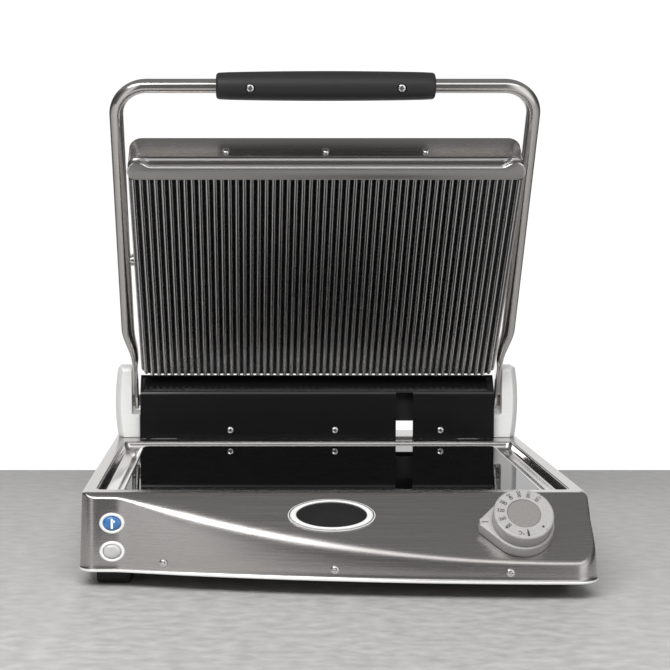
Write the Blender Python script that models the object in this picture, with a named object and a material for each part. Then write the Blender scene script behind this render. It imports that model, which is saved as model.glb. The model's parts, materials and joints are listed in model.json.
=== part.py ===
"""A panini press: a contact grill in stainless steel, standing open.

The base is a pressed steel housing with a sunk glass-ceramic plate. Its front has a sloping control face
over a skirt that sweeps forward to the right. A U-shaped tube handle turns on a sprung cross shaft between
two hinge towers, and carries a lid with a ribbed plate that levels itself as the press closes.

Lengths are in millimetres and become metres when an object is made. The base is laid out from the middle
of the rim's front edge: +X is right, +Y runs back and +Z is up from the table. The handle is laid out lying
level from its shaft, and the lid lying level from its pivots, because their parent empties tilt them.
"""

import math

import bmesh
import bpy
from mathutils import Matrix, Vector

MM = 0.001
GAP = 0.3
SHEET = 1.5

TUBE_SIDES = 10
SCREW_SIDES = 8

# The base housing
HALF_WIDTH = 219.0
LIP_OUT = 2.8
LIP_HEIGHT = 2.6
WALL_HALF = HALF_WIDTH - LIP_OUT
RIM_Z = 82.3
LIP_Z = 14.8
REAR_WALL_Y = 402.2
SKIRT_NEAR = 4.0
SKIRT_FAR = 50.7
SWEEP_START_X = -184.0
SWEEP_END_X = 197.0
SWEEP_SOFTNESS = 0.012
SWEEP_POWER = 2.1
LEFT_CORNER_R = 12.0
RIGHT_CORNER_R = 18.0
REAR_CORNER_R = 14.0
RIM_CHAMFER = 2.0
SLOPE = math.radians(45)
FOOT_TOP_Z = 15.7
FOOT_SIZE = 30.0
FOOT_XS = {"left": -190.0, "right": 190.0}
FOOT_YS = {"front": 31.0, "rear": 370.0}
BOTTOM_PLATE_TOP_Z = 17.5
FRONT_SCREW_XS = {"left": -145.0, "middle": -1.0, "right": 143.0}
FRONT_SCREW_Z = 24.5
GLAND_X = -150.0
GLAND_Z = 45.0
GLAND_R = 9.0

# The sunk glass plate, and the pressed frame with a drip channel round it
OPENING_HALF = 204.7
OPENING_FRONT_Y = 15.0
OPENING_REAR_Y = 309.0
OPENING_R = 6.0
GLASS_HALF = 180.5
GLASS_YS = (25.5, 288.5)
GLASS_R = 4.0
GLASS_TOP_Z = 80.4
GLASS_THICK = 4.0
GLASS_LOW_Z = GLASS_TOP_Z - GLASS_THICK
SEAL_LOW_Z = GLASS_LOW_Z - 1.8
FRAME_LOW_Z = SEAL_LOW_Z - 2.2
WINDOW_HALF = 171.0
WINDOW_YS = (35.0, 279.0)
WINDOW_R = 3.0
TRAY_LOW_Z = 50.0
HEATER_Z = 63.0
HEATER_R = 3.0

# The controls
KNOB_AT = (154.5, -27.0, 55.3)
KNOB_R = 25.0
KNOB_BASE_R = 27.0
KNOB_BASE_POINT = 35.0
KNOB_BASE_H = 12.0
KNOB_H = 13.0
KNOB_CHAMFER = 1.2
BUTTON_X = -189.3
BUTTON_HEIGHTS = {"upper": 56.8, "lower": 32.6}
BUTTON_R = 11.0
BUTTON_SHAPE = 9.0 / 11.0
BUTTON_HOLE = 9.2
KNOB_RECESS_R = 13.9
KNOB_DISC_R = 13.6
SPINDLE_R = 2.9
BADGE_AT = (-3.0, -17.0, 65.3)
BADGE_RING_STEPS = 32

# The rear panel, the hinge and its towers
PANEL_Y = 329.0
PANEL_HALF = 188.5
PANEL_THICK = 2.0
PANEL_BEND_Z = 131.0
PANEL_FLANGE = (13.6, 18.5)
SLOT_LEFT_X = 84.0
SLOT_RIGHT_X = 102.0
PANEL_SCREW_XS = {"left": -92.5, "middle": 19.0, "right": 131.5}
PANEL_SCREW_Z = 91.8
HINGE_Y = 360.6
HINGE_Z = 120.4
TOWER_FRONT_Y = 339.0
TOWER_REAR_Y = 388.0
TOWER_INNER_X = 198.3
TOWER_FOOT_X = 189.6
TOWER_OUTER_X = 216.0
TOWER_WAIST_IN = 3.0
TOWER_FOOT_Z = 107.0
TOWER_TOP_Z = 157.6
SHAFT_R = 6.0
SHAFT_HALF = 212.5
BUSH_R = 9.0
BUSH_X = 206.2
BUSH_HALF = 7.6
SPRING_COVER_HALF = 184.0
SPRING_COVER_YS = (343.5, 381.0)
SPRING_COVER_LOW_Z = 100.0
SPRING_COVER_TOP_Z = 141.0
SPRING_COVER_END = 4.0

# The handle, level
REST_TILT = 59.7
TUBE_R = 7.0
TUBE_WALL = 1.4
ARM_X = 200.0
BLADE_X = 193.7
BLADE_THICK = 5.0
HANDLE_REACH = 372.1
BEND_R = 30.0
TUBE_START = 56.0
FLAT_RUN = 38.0
FLAT_TALL = 9.0
FLAT_WIDE = 4.0
GRIP_HALF = 104.0
GRIP_END_R = 12.8
GRIP_MID_R = 14.25
GRIP_SCREW_X = 71.5
GRIP_SCREW_ANGLE = math.radians(255)
PIVOT_BOLT_X = 185.0

# The lid, level, from its pivots
LID_TILT = 50.0
PIVOT_REACH = 178.3
PLATE_FRONT = -134.2
PLATE_REAR = 129.4
PLATE_HALF = 186.5
PLATE_Z = -38.5
PLATE_THICK = 14.4
RIB_COUNT = 53
RIB_PITCH = 7.0
RIB_DEPTH = 3.0
BEZEL_DEEP = 16.6
BEZEL_TALL = 14.4
BEZEL_RECESS = 4.6
BEZEL_LOBE = 17.0
COVER_HALF = 187.7
COVER_TOP = 6.8
COVER_REAR = PLATE_REAR + 1.8
COVER_CORNER_R = 13.0
COVER_SCREW_X = 94.5
COVER_SCREW_Z = PLATE_Z + 21.9
PLATE_TOP_Z = PLATE_Z + PLATE_THICK
BRACKET_X = 183.4


# Outlines and bare shapes


def arc(cx, cy, radius, start, end, steps):
    """Points of a circular arc, angles in degrees, both ends included."""
    angles = [math.radians(start + (end - start) * i / steps) for i in range(steps + 1)]
    return [(cx + radius * math.cos(a), cy + radius * math.sin(a)) for a in angles]


def rounded_rectangle(x0, x1, y0, y1, radius, steps=4):
    return (
        arc(x0 + radius, y0 + radius, radius, 180, 270, steps)
        + arc(x1 - radius, y0 + radius, radius, 270, 360, steps)
        + arc(x1 - radius, y1 - radius, radius, 0, 90, steps)
        + arc(x0 + radius, y1 - radius, radius, 90, 180, steps)
    )


def oval(half_x, half_y, steps):
    angles = [math.tau * i / steps for i in range(steps)]
    return [(half_x * math.cos(a), half_y * math.sin(a)) for a in angles]


def skirt_depth(x):
    """How far the skirt stands forward of the rim's front edge, at one x."""
    along = (x - SWEEP_START_X) / (SWEEP_END_X - SWEEP_START_X)
    soft = min(1.0, 0.5 * (along + math.hypot(along, SWEEP_SOFTNESS)))
    return SKIRT_NEAR + (SKIRT_FAR - SKIRT_NEAR) * (1 - (1 - soft) ** SWEEP_POWER)


def skirt_swing(x):
    """How far the skirt's face is turned about Z, at one x."""
    return -math.atan(skirt_depth(x + 0.5) - skirt_depth(x - 0.5))


def skirt_outline(grow, steps=18):
    """The base seen from above, as a closed outline that stands grow outside the skirt's outer face."""
    left = -WALL_HALF + LEFT_CORNER_R
    right = WALL_HALF - RIGHT_CORNER_R
    front_left = LEFT_CORNER_R - skirt_depth(left)
    points = arc(left, front_left, LEFT_CORNER_R + grow, 180, 270, 5)
    for i in range(1, steps):
        x = left + (right - left) * i / steps
        slope = skirt_depth(x + 0.5) - skirt_depth(x - 0.5)
        length = math.hypot(slope, 1)
        points.append((x - grow * slope / length, -skirt_depth(x) - grow / length))
    points += arc(right, RIGHT_CORNER_R - SKIRT_FAR, RIGHT_CORNER_R + grow, 270, 360, 6)
    rear = REAR_WALL_Y - REAR_CORNER_R
    side = WALL_HALF - REAR_CORNER_R
    points += arc(side, rear, REAR_CORNER_R + grow, 0, 90, 5)
    points += arc(-side, rear, REAR_CORNER_R + grow, 90, 180, 5)
    return points


def at_height(outline, z):
    return [Vector((x, y, z)) for x, y in outline]


def loft(rings, closed=False):
    """A solid skinned through rings of equal length, capped at both ends unless it closes on itself."""
    bm = bmesh.new()
    rows = [[bm.verts.new(point) for point in ring] for ring in rings]
    following = rows[1:] + rows[:1] if closed else rows[1:]
    for lower, upper in zip(rows, following):
        for i in range(len(lower)):
            j = (i + 1) % len(lower)
            bm.faces.new((lower[i], lower[j], upper[j], upper[i]))
    if not closed:
        bm.faces.new(rows[0][::-1])
        bm.faces.new(rows[-1])
    bmesh.ops.recalc_face_normals(bm, faces=bm.faces)
    return bm


def prism(outline, z0, z1):
    return loft([at_height(outline, z0), at_height(outline, z1)])


def frame_prism(outer, inner, z0, z1):
    """A flat ring between two outlines that have the same number of points."""
    rings = [at_height(outer, z0), at_height(outer, z1), at_height(inner, z1), at_height(inner, z0)]
    return loft(rings, closed=True)


def box(x0, x1, y0, y1, z0, z1):
    return prism([(x0, y0), (x1, y0), (x1, y1), (x0, y1)], z0, z1)


def circle(radius, z, steps):
    return at_height(arc(0, 0, radius, 0, 360 * (steps - 1) / steps, steps - 1), z)


def turned(profile, steps=16, closed=False):
    """A solid turned about local Z through (radius, z) points, with flat ends or closed on itself."""
    return loft([circle(radius, z, steps) for radius, z in profile], closed)


def across(bm):
    """Turns a shape made about Z so that it lies about X."""
    bmesh.ops.rotate(bm, verts=bm.verts, matrix=Matrix.Rotation(math.radians(90), 3, "Y"))
    return bm


def moved(bm, x=0.0, y=0.0, z=0.0):
    bmesh.ops.translate(bm, verts=bm.verts, vec=(x, y, z))
    return bm


def turned_about_x(bm, angle):
    bmesh.ops.rotate(bm, verts=bm.verts, matrix=Matrix.Rotation(angle, 3, "X"))
    return bm


def facing_forward(bm):
    """Turns a shape made about Z so that its Z end points to the front."""
    return turned_about_x(bm, math.radians(90))


def joined(*parts):
    """Several closed shapes in one mesh, for a cutter that cuts them all."""
    whole = bmesh.new()
    for part in parts:
        mesh = bpy.data.meshes.new("part")
        part.to_mesh(mesh)
        part.free()
        whole.from_mesh(mesh)
        bpy.data.meshes.remove(mesh)
    return whole


def swept(path, sections):
    """A closed skin along a path in the local XY plane. Each section is (half along Z, half across)."""
    rings = []
    for i, point in enumerate(path):
        before = path[max(i - 1, 0)]
        after = path[min(i + 1, len(path) - 1)]
        run = (Vector(after) - Vector(before)).normalized()
        side = Vector((run.y, -run.x, 0))
        tall, wide = sections[i]
        ring = []
        for k in range(TUBE_SIDES):
            angle = math.tau * k / TUBE_SIDES
            offset = Vector((0, 0, tall * math.cos(angle))) + side * wide * math.sin(angle)
            ring.append(Vector((point[0], point[1], 0)) + offset)
        rings.append(ring)
    return rings


def wire(path, radius, sides, up):
    """A solid wire along any smooth path of points, with flat ends. The path never runs along up."""
    rings = []
    for i, point in enumerate(path):
        run = (path[min(i + 1, len(path) - 1)] - path[max(i - 1, 0)]).normalized()
        side = run.cross(up).normalized()
        up = side.cross(run).normalized()
        angles = [math.tau * k / sides for k in range(sides)]
        rings.append([point + radius * (side * math.cos(a) + up * math.sin(a)) for a in angles])
    return loft(rings)


def sliced(bm, point, normal):
    """Cuts away what lies beyond a plane and closes the cut."""
    geometry = list(bm.verts) + list(bm.edges) + list(bm.faces)
    bmesh.ops.bisect_plane(bm, geom=geometry, plane_co=point, plane_no=normal, clear_outer=True)
    rim = [edge for edge in bm.edges if edge.is_boundary]
    bmesh.ops.contextual_create(bm, geom=rim)
    bmesh.ops.recalc_face_normals(bm, faces=bm.faces)
    return bm


# Objects, cutters and materials


def material(name, colour, roughness, metallic):
    made = bpy.data.materials.new(name)
    made.use_nodes = True
    shader = made.node_tree.nodes["Principled BSDF"]
    shader.inputs["Base Color"].default_value = (*colour, 1.0)
    shader.inputs["Roughness"].default_value = roughness
    shader.inputs["Metallic"].default_value = metallic
    return made


def empty(name, parent, at, tilt=0.0, swing=0.0):
    """A frame for other objects, in millimetres from its parent, tilted about X and then turned about Z."""
    frame = bpy.data.objects.new(name, None)
    bpy.context.collection.objects.link(frame)
    frame.parent = parent
    frame.location = Vector(at) * MM
    frame.rotation_euler = (tilt, 0, swing)
    return frame


def place(name, bm, parent):
    mesh = bpy.data.meshes.new(name)
    bmesh.ops.scale(bm, vec=(MM, MM, MM), verts=bm.verts)
    bm.to_mesh(mesh)
    bm.free()
    obj = bpy.data.objects.new(name, mesh)
    bpy.context.collection.objects.link(obj)
    obj.parent = parent
    return obj


def part(name, bm, finish, parent):
    """One piece of the press, with its own copy of a finish."""
    obj = place(name, bm, parent)
    own = finish.copy()
    own.name = name
    obj.data.materials.append(own)
    obj.data.shade_smooth()
    obj.data.set_sharp_from_angle(angle=math.radians(35))
    return obj


def cut(obj, bm, parent):
    """Takes a shape out of a piece with a Boolean that stays on it."""
    cutter = place(obj.name + "_cutter", bm, parent)
    cutter.hide_render = True
    cutter.display_type = "WIRE"
    modifier = obj.modifiers.new("cut", "BOOLEAN")
    modifier.operation = "DIFFERENCE"
    modifier.solver = "EXACT"
    modifier.object = cutter


def screw(name, finish, parent, at, swing=0.0, head_r=3.65, length=9.0):
    """A pan-head screw in an upright sheet that faces forward, with its head just off it."""
    frame = empty(name + "_axis", parent, at, math.radians(90), swing)
    shank_r = head_r * 0.45
    profile = [
        (shank_r * 0.7, -length),
        (shank_r, -length + 1),
        (shank_r, GAP),
        (head_r, GAP),
        (head_r, GAP + 0.9),
        (head_r * 0.8, GAP + 1.9),
        (head_r * 0.4, GAP + 2.3),
    ]
    return part(name, turned(profile, SCREW_SIDES), finish, frame)


def hole_for_screw(head_r=3.65, depth=14.0):
    return turned([(head_r * 0.45 + GAP, -depth), (head_r * 0.45 + GAP, 4.0)], SCREW_SIDES)


# The base


def base_housing(steel, base):
    """Pressed sheet: flat rim, sloping control face, swept skirt and a rolled lip."""
    rings = [
        at_height(skirt_outline(LIP_OUT), LIP_Z),
        at_height(skirt_outline(LIP_OUT), LIP_Z + LIP_HEIGHT),
        at_height(skirt_outline(0), LIP_Z + 2.5 * LIP_HEIGHT),
        at_height(skirt_outline(0), RIM_Z - RIM_CHAMFER),
        at_height(skirt_outline(-RIM_CHAMFER), RIM_Z),
    ]
    outward = Vector((0, -math.sin(SLOPE), math.cos(SLOPE)))
    outer = sliced(loft(rings), Vector((0, 0, RIM_Z)), outward)
    housing = part("base_housing", outer, steel, base)

    hollow = prism(skirt_outline(-SHEET), LIP_Z - 5, RIM_Z - SHEET)
    cut(housing, sliced(hollow, Vector((0, 0, RIM_Z)) - outward * SHEET, outward), base)
    opening = rounded_rectangle(
        -OPENING_HALF, OPENING_HALF, OPENING_FRONT_Y, OPENING_REAR_Y, OPENING_R
    )
    holes = [prism(opening, RIM_Z - 10, RIM_Z + 10)]
    spindle_hole = turned([(SPINDLE_R + 2.1, -10), (SPINDLE_R + 2.1, 10)], 12)
    holes.append(moved(turned_about_x(spindle_hole, SLOPE), *KNOB_AT))
    for height in BUTTON_HEIGHTS.values():
        sleeve = prism(oval(BUTTON_HOLE, BUTTON_HOLE * BUTTON_SHAPE, 20), -10, 10)
        holes.append(moved(facing_forward(sleeve), BUTTON_X, -SKIRT_NEAR, height))
    for x in FRONT_SCREW_XS.values():
        hole = facing_forward(hole_for_screw())
        bmesh.ops.rotate(hole, verts=hole.verts, matrix=Matrix.Rotation(skirt_swing(x), 3, "Z"))
        holes.append(moved(hole, x, -skirt_depth(x), FRONT_SCREW_Z))
    gland = turned([(GLAND_R, -12), (GLAND_R, 12)], 12)
    holes.append(moved(facing_forward(gland), GLAND_X, REAR_WALL_Y, GLAND_Z))
    cut(housing, joined(*holes), base)
    return housing


def bottom_plate(steel, base):
    """The flat closing plate, with rows of cooling slots between the feet."""
    sheet = prism(skirt_outline(-SHEET - GAP), FOOT_TOP_Z + GAP, BOTTOM_PLATE_TOP_Z)
    plate = part("bottom_plate", sheet, steel, base)
    slots = []
    for x in (-90, -30, 30, 90):
        for y in (100, 200, 300):
            outline = rounded_rectangle(x - 20, x + 20, y - 3, y + 3, 2.9, 2)
            slots.append(prism(outline, 10, 25))
    cut(plate, joined(*slots), base)


def feet(rubber, base):
    """Four square rubber feet under the bottom plate."""
    for side, x in FOOT_XS.items():
        for end, y in FOOT_YS.items():
            rings = []
            for grow, z in ((-2, 0), (0, 2), (0, FOOT_TOP_Z)):
                half = FOOT_SIZE / 2 + grow
                outline = rounded_rectangle(x - half, x + half, y - half, y + half, 3, 2)
                rings.append(at_height(outline, z))
            part(f"foot_{end}_{side}", loft(rings), rubber, base)


def drip_frame():
    """One pressed ring: a rolled edge in the opening, a channel, and a ledge that the glass rests on."""
    front = OPENING_FRONT_Y
    rear = OPENING_REAR_Y
    ledge_z = SEAL_LOW_Z - GAP
    section = (
        (204.4, front + 0.3, rear - 0.3, 5.8, 81.4),
        (203.9, front + 0.8, rear - 0.8, 5.4, 82.0),
        (203.0, front + 1.7, rear - 1.7, 5.0, 81.5),
        (201.6, front + 3.1, rear - 3.1, 4.5, 75.6),
        (199.8, front + 4.6, rear - 4.6, 4.2, 74.6),
        (190.0, front + 6.5, rear - 12.5, 4.2, 74.6),
        (183.0, front + 9.4, rear - 19.0, 4.2, 79.4),
        (GLASS_HALF + 0.5, GLASS_YS[0] - 0.5, GLASS_YS[1] + 0.5, GLASS_R + 0.5, 79.6),
        (GLASS_HALF + 0.5, GLASS_YS[0] - 0.5, GLASS_YS[1] + 0.5, GLASS_R + 0.5, ledge_z),
        (WINDOW_HALF, *WINDOW_YS, WINDOW_R, ledge_z),
        (WINDOW_HALF, *WINDOW_YS, WINDOW_R, FRAME_LOW_Z),
        (204.4, front + 0.3, rear - 0.3, 5.8, FRAME_LOW_Z),
    )
    rings = [at_height(rounded_rectangle(-half, half, y0, y1, r), z) for half, y0, y1, r, z in section]
    return loft(rings, closed=True)


def glass_and_heater(glass, seal, steel, board, element, base):
    """The sunk glass plate on its seal and frame, over the radiant heater and its insulating tray."""
    outline = rounded_rectangle(-GLASS_HALF, GLASS_HALF, *GLASS_YS, GLASS_R)
    part("lower_glass", prism(outline, GLASS_LOW_Z, GLASS_TOP_Z), glass, base)
    window = rounded_rectangle(-WINDOW_HALF, WINDOW_HALF, *WINDOW_YS, WINDOW_R)
    part("glass_seal", frame_prism(outline, window, SEAL_LOW_Z, GLASS_LOW_Z - GAP), seal, base)
    part("glass_frame", drip_frame(), steel, base)

    tray_outer = rounded_rectangle(-190, 190, 30, 284, 6)
    tray_inner = rounded_rectangle(-182, 182, 38, 276, 4)
    tray = part("lower_heater_tray", prism(tray_outer, TRAY_LOW_Z, FRAME_LOW_Z - 0.4), board, base)
    cut(tray, prism(tray_inner, TRAY_LOW_Z + 8, GLASS_LOW_Z), base)
    path = serpentine(-155, 155, 55, 259, 7, HEATER_Z)
    part("lower_heater", wire(path, HEATER_R, 6, Vector((0, 0, 1))), element, base)
    tray_support(steel, base)


def tray_support(steel, base):
    """A strap bent down at both ends, which stands on the bottom plate and carries the tray."""
    half = 199.0
    thick = 3.0
    low = BOTTOM_PLATE_TOP_Z + 0.5
    top = TRAY_LOW_Z - GAP
    strap = [
        (-half, low),
        (-half, top),
        (half, top),
        (half, low),
        (half - thick, low),
        (half - thick, top - 2),
        (-half + thick, top - 2),
        (-half + thick, low),
    ]
    part("tray_support", extruded_along_y(strap, 137, 177), steel, base)


def extruded_along_y(outline, y0, y1):
    """A prism along Y whose outline is given as (x, z) points."""
    return loft([[Vector((x, y, z)) for x, z in outline] for y in (y0, y1)])


def serpentine(x0, x1, y0, y1, runs, z):
    """A heater element's path: parallel runs joined by half circles."""
    pitch = (y1 - y0) / (runs - 1)
    points = []
    for i in range(runs):
        y = y0 + pitch * i
        ends = (x0, x1) if i % 2 == 0 else (x1, x0)
        points += [Vector((ends[0], y, z)), Vector((ends[1], y, z))]
        if i == runs - 1:
            break
        outward = 1 if i % 2 == 0 else -1
        for k in range(1, 4):
            angle = math.radians(-90 + 45 * k)
            x = ends[1] + outward * pitch / 2 * math.cos(angle)
            points.append(Vector((x, y + pitch / 2 * (1 + math.sin(angle)), z)))
    return points


def electrics(plastic, black, base):
    """What the housing holds for its supply: the gland's nut and the terminal block."""
    flange_r = GLAND_R + 3.5
    sleeve_r = GLAND_R - GAP
    bore_r = 5.0
    profile = [
        (flange_r, 0.4),
        (flange_r, 2.4),
        (bore_r, 2.6),
        (bore_r, -14),
        (sleeve_r, -14),
        (sleeve_r, 0.4),
    ]
    frame = empty("gland_axis", base, (GLAND_X, REAR_WALL_Y, GLAND_Z), math.radians(-90))
    part("cable_gland", turned(profile, 12, closed=True), black, frame)
    part("terminal_block", box(-130, -80, 340, 360, 17.9, 40), plastic, base)


# The controls


def knob_outline():
    """The dial's base: round, with tangents to a narrow flat-cut point on its left."""
    half_flat = 4.0
    reach = math.hypot(KNOB_BASE_POINT, half_flat)
    lean = math.degrees(math.acos(KNOB_BASE_R / reach) + math.atan2(half_flat, KNOB_BASE_POINT))
    points = arc(0, 0, KNOB_BASE_R, -180 + lean, 180 - lean, 20)
    return points + [(-KNOB_BASE_POINT, half_flat), (-KNOB_BASE_POINT, -half_flat)]


def dial(silver, steel, plastic, base):
    """The thermostat's dial on the sloping face. Local Z is its axis, out of the face."""
    frame = empty("knob_axis", base, KNOB_AT, SLOPE)
    low = KNOB_BASE_H + GAP
    high = KNOB_BASE_H + KNOB_H
    socket_r = SPINDLE_R + GAP
    ring = part("knob_base", prism(knob_outline(), GAP, KNOB_BASE_H), silver, frame)
    cut(ring, turned([(5, -5), (5, 20)], 12), frame)

    profile = [
        (KNOB_R - 0.4, low),
        (KNOB_R, low + 1.5),
        (KNOB_R, high - KNOB_CHAMFER),
        (KNOB_R - KNOB_CHAMFER, high),
    ]
    knob = part("knob", turned(profile, 32), silver, frame)
    recess = turned([(KNOB_RECESS_R, high - 1.6), (KNOB_RECESS_R, high + 4)], 24)
    socket = turned([(socket_r, low - 3), (socket_r, low + 8)], 12)
    cut(knob, joined(recess, socket), frame)
    part("knob_disc", turned([(KNOB_DISC_R, high - 1.3), (KNOB_DISC_R, high - 0.5)], 24), silver, frame)

    spindle_low = -14.0
    part("knob_spindle", turned([(SPINDLE_R, spindle_low), (SPINDLE_R, low + 7.6)], 12), steel, frame)
    body = part("thermostat", box(-20, 20, -17, 17, -32, -4.5), plastic, frame)
    cut(body, turned([(socket_r, spindle_low - 0.4), (socket_r, 5)], 12), frame)


def button(name, height, cap_finish, chrome, base):
    """An oval push button in the bright bezel of its switch. Local Z points out of the skirt."""
    wall_y = -skirt_depth(BUTTON_X + BUTTON_R)
    frame = empty(f"button_{name}_axis", base, (BUTTON_X, wall_y, height), math.radians(90))

    def ring(half, z):
        return at_height(oval(half, half * BUTTON_SHAPE, 20), z)

    body = BUTTON_HOLE - GAP
    bore = 7.9
    rings = [
        ring(body, -24),
        ring(body, GAP),
        ring(BUTTON_R, GAP),
        ring(BUTTON_R, 1.4),
        ring(9.6, 2.6),
        ring(bore, 2.2),
        ring(bore, -14),
    ]
    part(f"button_{name}_switch", loft(rings), chrome, frame)
    cap = [ring(7.6, -9), ring(7.6, 1.8), ring(6.4, 2.9), ring(3.4, 3.5)]
    part(f"button_{name}", loft(cap), cap_finish, frame)


def badge(chrome, black, base):
    """A blank oval badge: a domed black face in a bright ring."""
    frame = empty("badge_axis", base, BADGE_AT, SLOPE)

    def ring(half_x, half_y, z):
        return at_height(oval(half_x, half_y, BADGE_RING_STEPS), z)

    rings = [
        ring(37, 16.5, GAP),
        ring(37, 16.5, 1.0),
        ring(34, 15, 2.6),
        ring(30.8, 13.6, 2.0),
        ring(30.8, 13.6, GAP),
    ]
    part("badge_ring", loft(rings, closed=True), chrome, frame)
    face = [ring(30.5, 13.3, GAP), ring(30.5, 13.3, 1.6), ring(20, 8, 2.1)]
    part("badge_face", loft(face), black, frame)


# The rear panel and the hinge


def rear_panel(dark_steel, steel, base):
    """An upright sheet whose top edge is bent back, with a slot for the lid's lead."""
    back, up = PANEL_FLANGE
    low = RIM_Z + GAP
    outline = [
        (PANEL_Y, low),
        (PANEL_Y, PANEL_BEND_Z),
        (PANEL_Y + back, PANEL_BEND_Z + up),
        (PANEL_Y + back + 1.6, PANEL_BEND_Z + up - 1.2),
        (PANEL_Y + PANEL_THICK, PANEL_BEND_Z - 0.6),
        (PANEL_Y + PANEL_THICK, low),
    ]
    sheet = loft([[Vector((x, y, z)) for y, z in outline] for x in (-PANEL_HALF, PANEL_HALF)])
    panel = part("rear_panel", sheet, dark_steel, base)
    slot = box(SLOT_LEFT_X, SLOT_RIGHT_X, PANEL_Y - 5, PANEL_Y + 25, RIM_Z - 5, PANEL_BEND_Z + 1)
    holes = [slot]
    for x in PANEL_SCREW_XS.values():
        holes.append(moved(facing_forward(hole_for_screw()), x, PANEL_Y, PANEL_SCREW_Z))
    cut(panel, joined(*holes), base)
    panel_rail(steel, base)


def panel_rail(steel, base):
    """The angle on the deck that the panel's screws go into, notched behind the slot."""
    y = PANEL_Y + PANEL_THICK + GAP
    z = RIM_Z + GAP
    outline = [(y, z), (y, z + 18), (y + 2, z + 18), (y + 2, z + 2), (y + 8, z + 2), (y + 8, z)]
    angle = loft([[Vector((x, y, z)) for y, z in outline] for x in (-150, 150)])
    rail = part("panel_rail", angle, steel, base)
    notch = box(SLOT_LEFT_X - 4, SLOT_RIGHT_X + 4, y - 5, y + 5, z + 2, z + 30)
    holes = [notch]
    for x in PANEL_SCREW_XS.values():
        holes.append(moved(facing_forward(hole_for_screw()), x, PANEL_Y, PANEL_SCREW_Z))
    cut(rail, joined(*holes), base)


def tower(side, sign, silver, bronze, base):
    """A cast tower: a barrelled outer block beside the arm's blade, on a wider foot."""
    low = RIM_Z + GAP
    middle = (low + TOWER_TOP_Z) / 2
    half = (TOWER_TOP_Z - low) / 2
    outline = [(TOWER_FOOT_X, low)]
    steps = 8
    for i in range(steps + 1):
        along = -1 + 2 * i / steps
        outline.append((TOWER_OUTER_X - TOWER_WAIST_IN * along * along, middle + half * along))
    outline += [(TOWER_INNER_X, TOWER_TOP_Z), (TOWER_INNER_X, TOWER_FOOT_Z), (TOWER_FOOT_X, TOWER_FOOT_Z)]
    block = extruded_along_y([(sign * x, z) for x, z in outline], TOWER_FRONT_Y, TOWER_REAR_Y)
    body = part(f"hinge_tower_{side}", block, silver, base)
    bore_half = BUSH_HALF + 0.6
    bore = across(turned([(BUSH_R + GAP, -bore_half), (BUSH_R + GAP, bore_half)], 20))
    cut(body, moved(bore, sign * BUSH_X, HINGE_Y, HINGE_Z), base)
    slope = turned_about_x(box(-40, 40, -20, 0, -40, 40), math.radians(-35))
    cut(body, moved(slope, sign * BUSH_X, TOWER_FRONT_Y + 2.5, TOWER_TOP_Z), base)
    rear = turned_about_x(box(-40, 40, 0, 30, -40, 60), math.radians(28))
    cut(body, moved(rear, sign * BUSH_X, TOWER_REAR_Y - 8, TOWER_TOP_Z), base)
    bush = [
        (BUSH_R, -BUSH_HALF),
        (BUSH_R, BUSH_HALF),
        (SHAFT_R + GAP, BUSH_HALF),
        (SHAFT_R + GAP, -BUSH_HALF),
    ]
    ring = moved(across(turned(bush, 20, closed=True)), sign * BUSH_X, HINGE_Y, HINGE_Z)
    part(f"shaft_bush_{side}", ring, bronze, base)


def spring_cover(black, spring_steel, base):
    """The black channel behind the panel, whose ends carry the shaft, and its two torsion springs."""
    front, rear = SPRING_COVER_YS
    half = SPRING_COVER_HALF
    inner = half - SPRING_COVER_END
    top = SPRING_COVER_TOP_Z
    under = RIM_Z - 5
    cover = part("spring_cover", box(-half, half, front, rear, RIM_Z + GAP, top), black, base)
    cut(cover, box(-inner, inner, front + SHEET, rear - SHEET, under, top - SHEET), base)
    cut(cover, box(-inner, inner, front - 5, rear + 5, under, SPRING_COVER_LOW_Z), base)
    bores = across(turned([(SHAFT_R + GAP, -half - 5), (SHAFT_R + GAP, half + 5)], 20))
    cut(cover, moved(bores, 0, HINGE_Y, HINGE_Z), base)
    turns, pitch, radius, steps = 5, 8.0, 11.0, 9
    for side, sign in (("left", -1), ("right", 1)):
        points = []
        for i in range(turns * steps + 1):
            angle = math.tau * i / steps
            x = sign * (150.0 - pitch * i / steps)
            y = HINGE_Y + radius * math.cos(angle)
            points.append(Vector((x, y, HINGE_Z + radius * math.sin(angle))))
        part(f"torsion_spring_{side}", wire(points, 1.4, 5, Vector((1, 0, 0))), spring_steel, base)


# The handle


def roundness(reach):
    """0 where the tube is squeezed flat at its end, easing to 1 where it is round."""
    along = min(1.0, max(0.0, (reach - TUBE_START) / FLAT_RUN))
    return along * along * (3 - 2 * along)


def tube_section(point, wall):
    """Half the tube's height and half its width at a point of its path, less the wall."""
    round_here = roundness(-point[1])
    tall = FLAT_TALL + (TUBE_R - FLAT_TALL) * round_here
    wide = FLAT_WIDE + (TUBE_R - FLAT_WIDE) * round_here
    return (tall - wall, wide - wall)


def tube_path():
    """The tube's centre line, level, from the left blade round to the right one."""
    half = []
    for i in range(7):
        reach = TUBE_START + FLAT_RUN * i / 6
        half.append((BLADE_X + (ARM_X - BLADE_X) * roundness(reach), -reach))
    half += [(ARM_X, -150.0), (ARM_X, -200.0), (ARM_X, -260.0)]
    bend = arc(ARM_X - BEND_R, -HANDLE_REACH + BEND_R, BEND_R, 0, -90, 7)
    half += bend + [(120.0, -HANDLE_REACH), (60.0, -HANDLE_REACH)]
    left = [(-x, y) for x, y in half]
    return left + [(0.0, -HANDLE_REACH)] + half[::-1]


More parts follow.
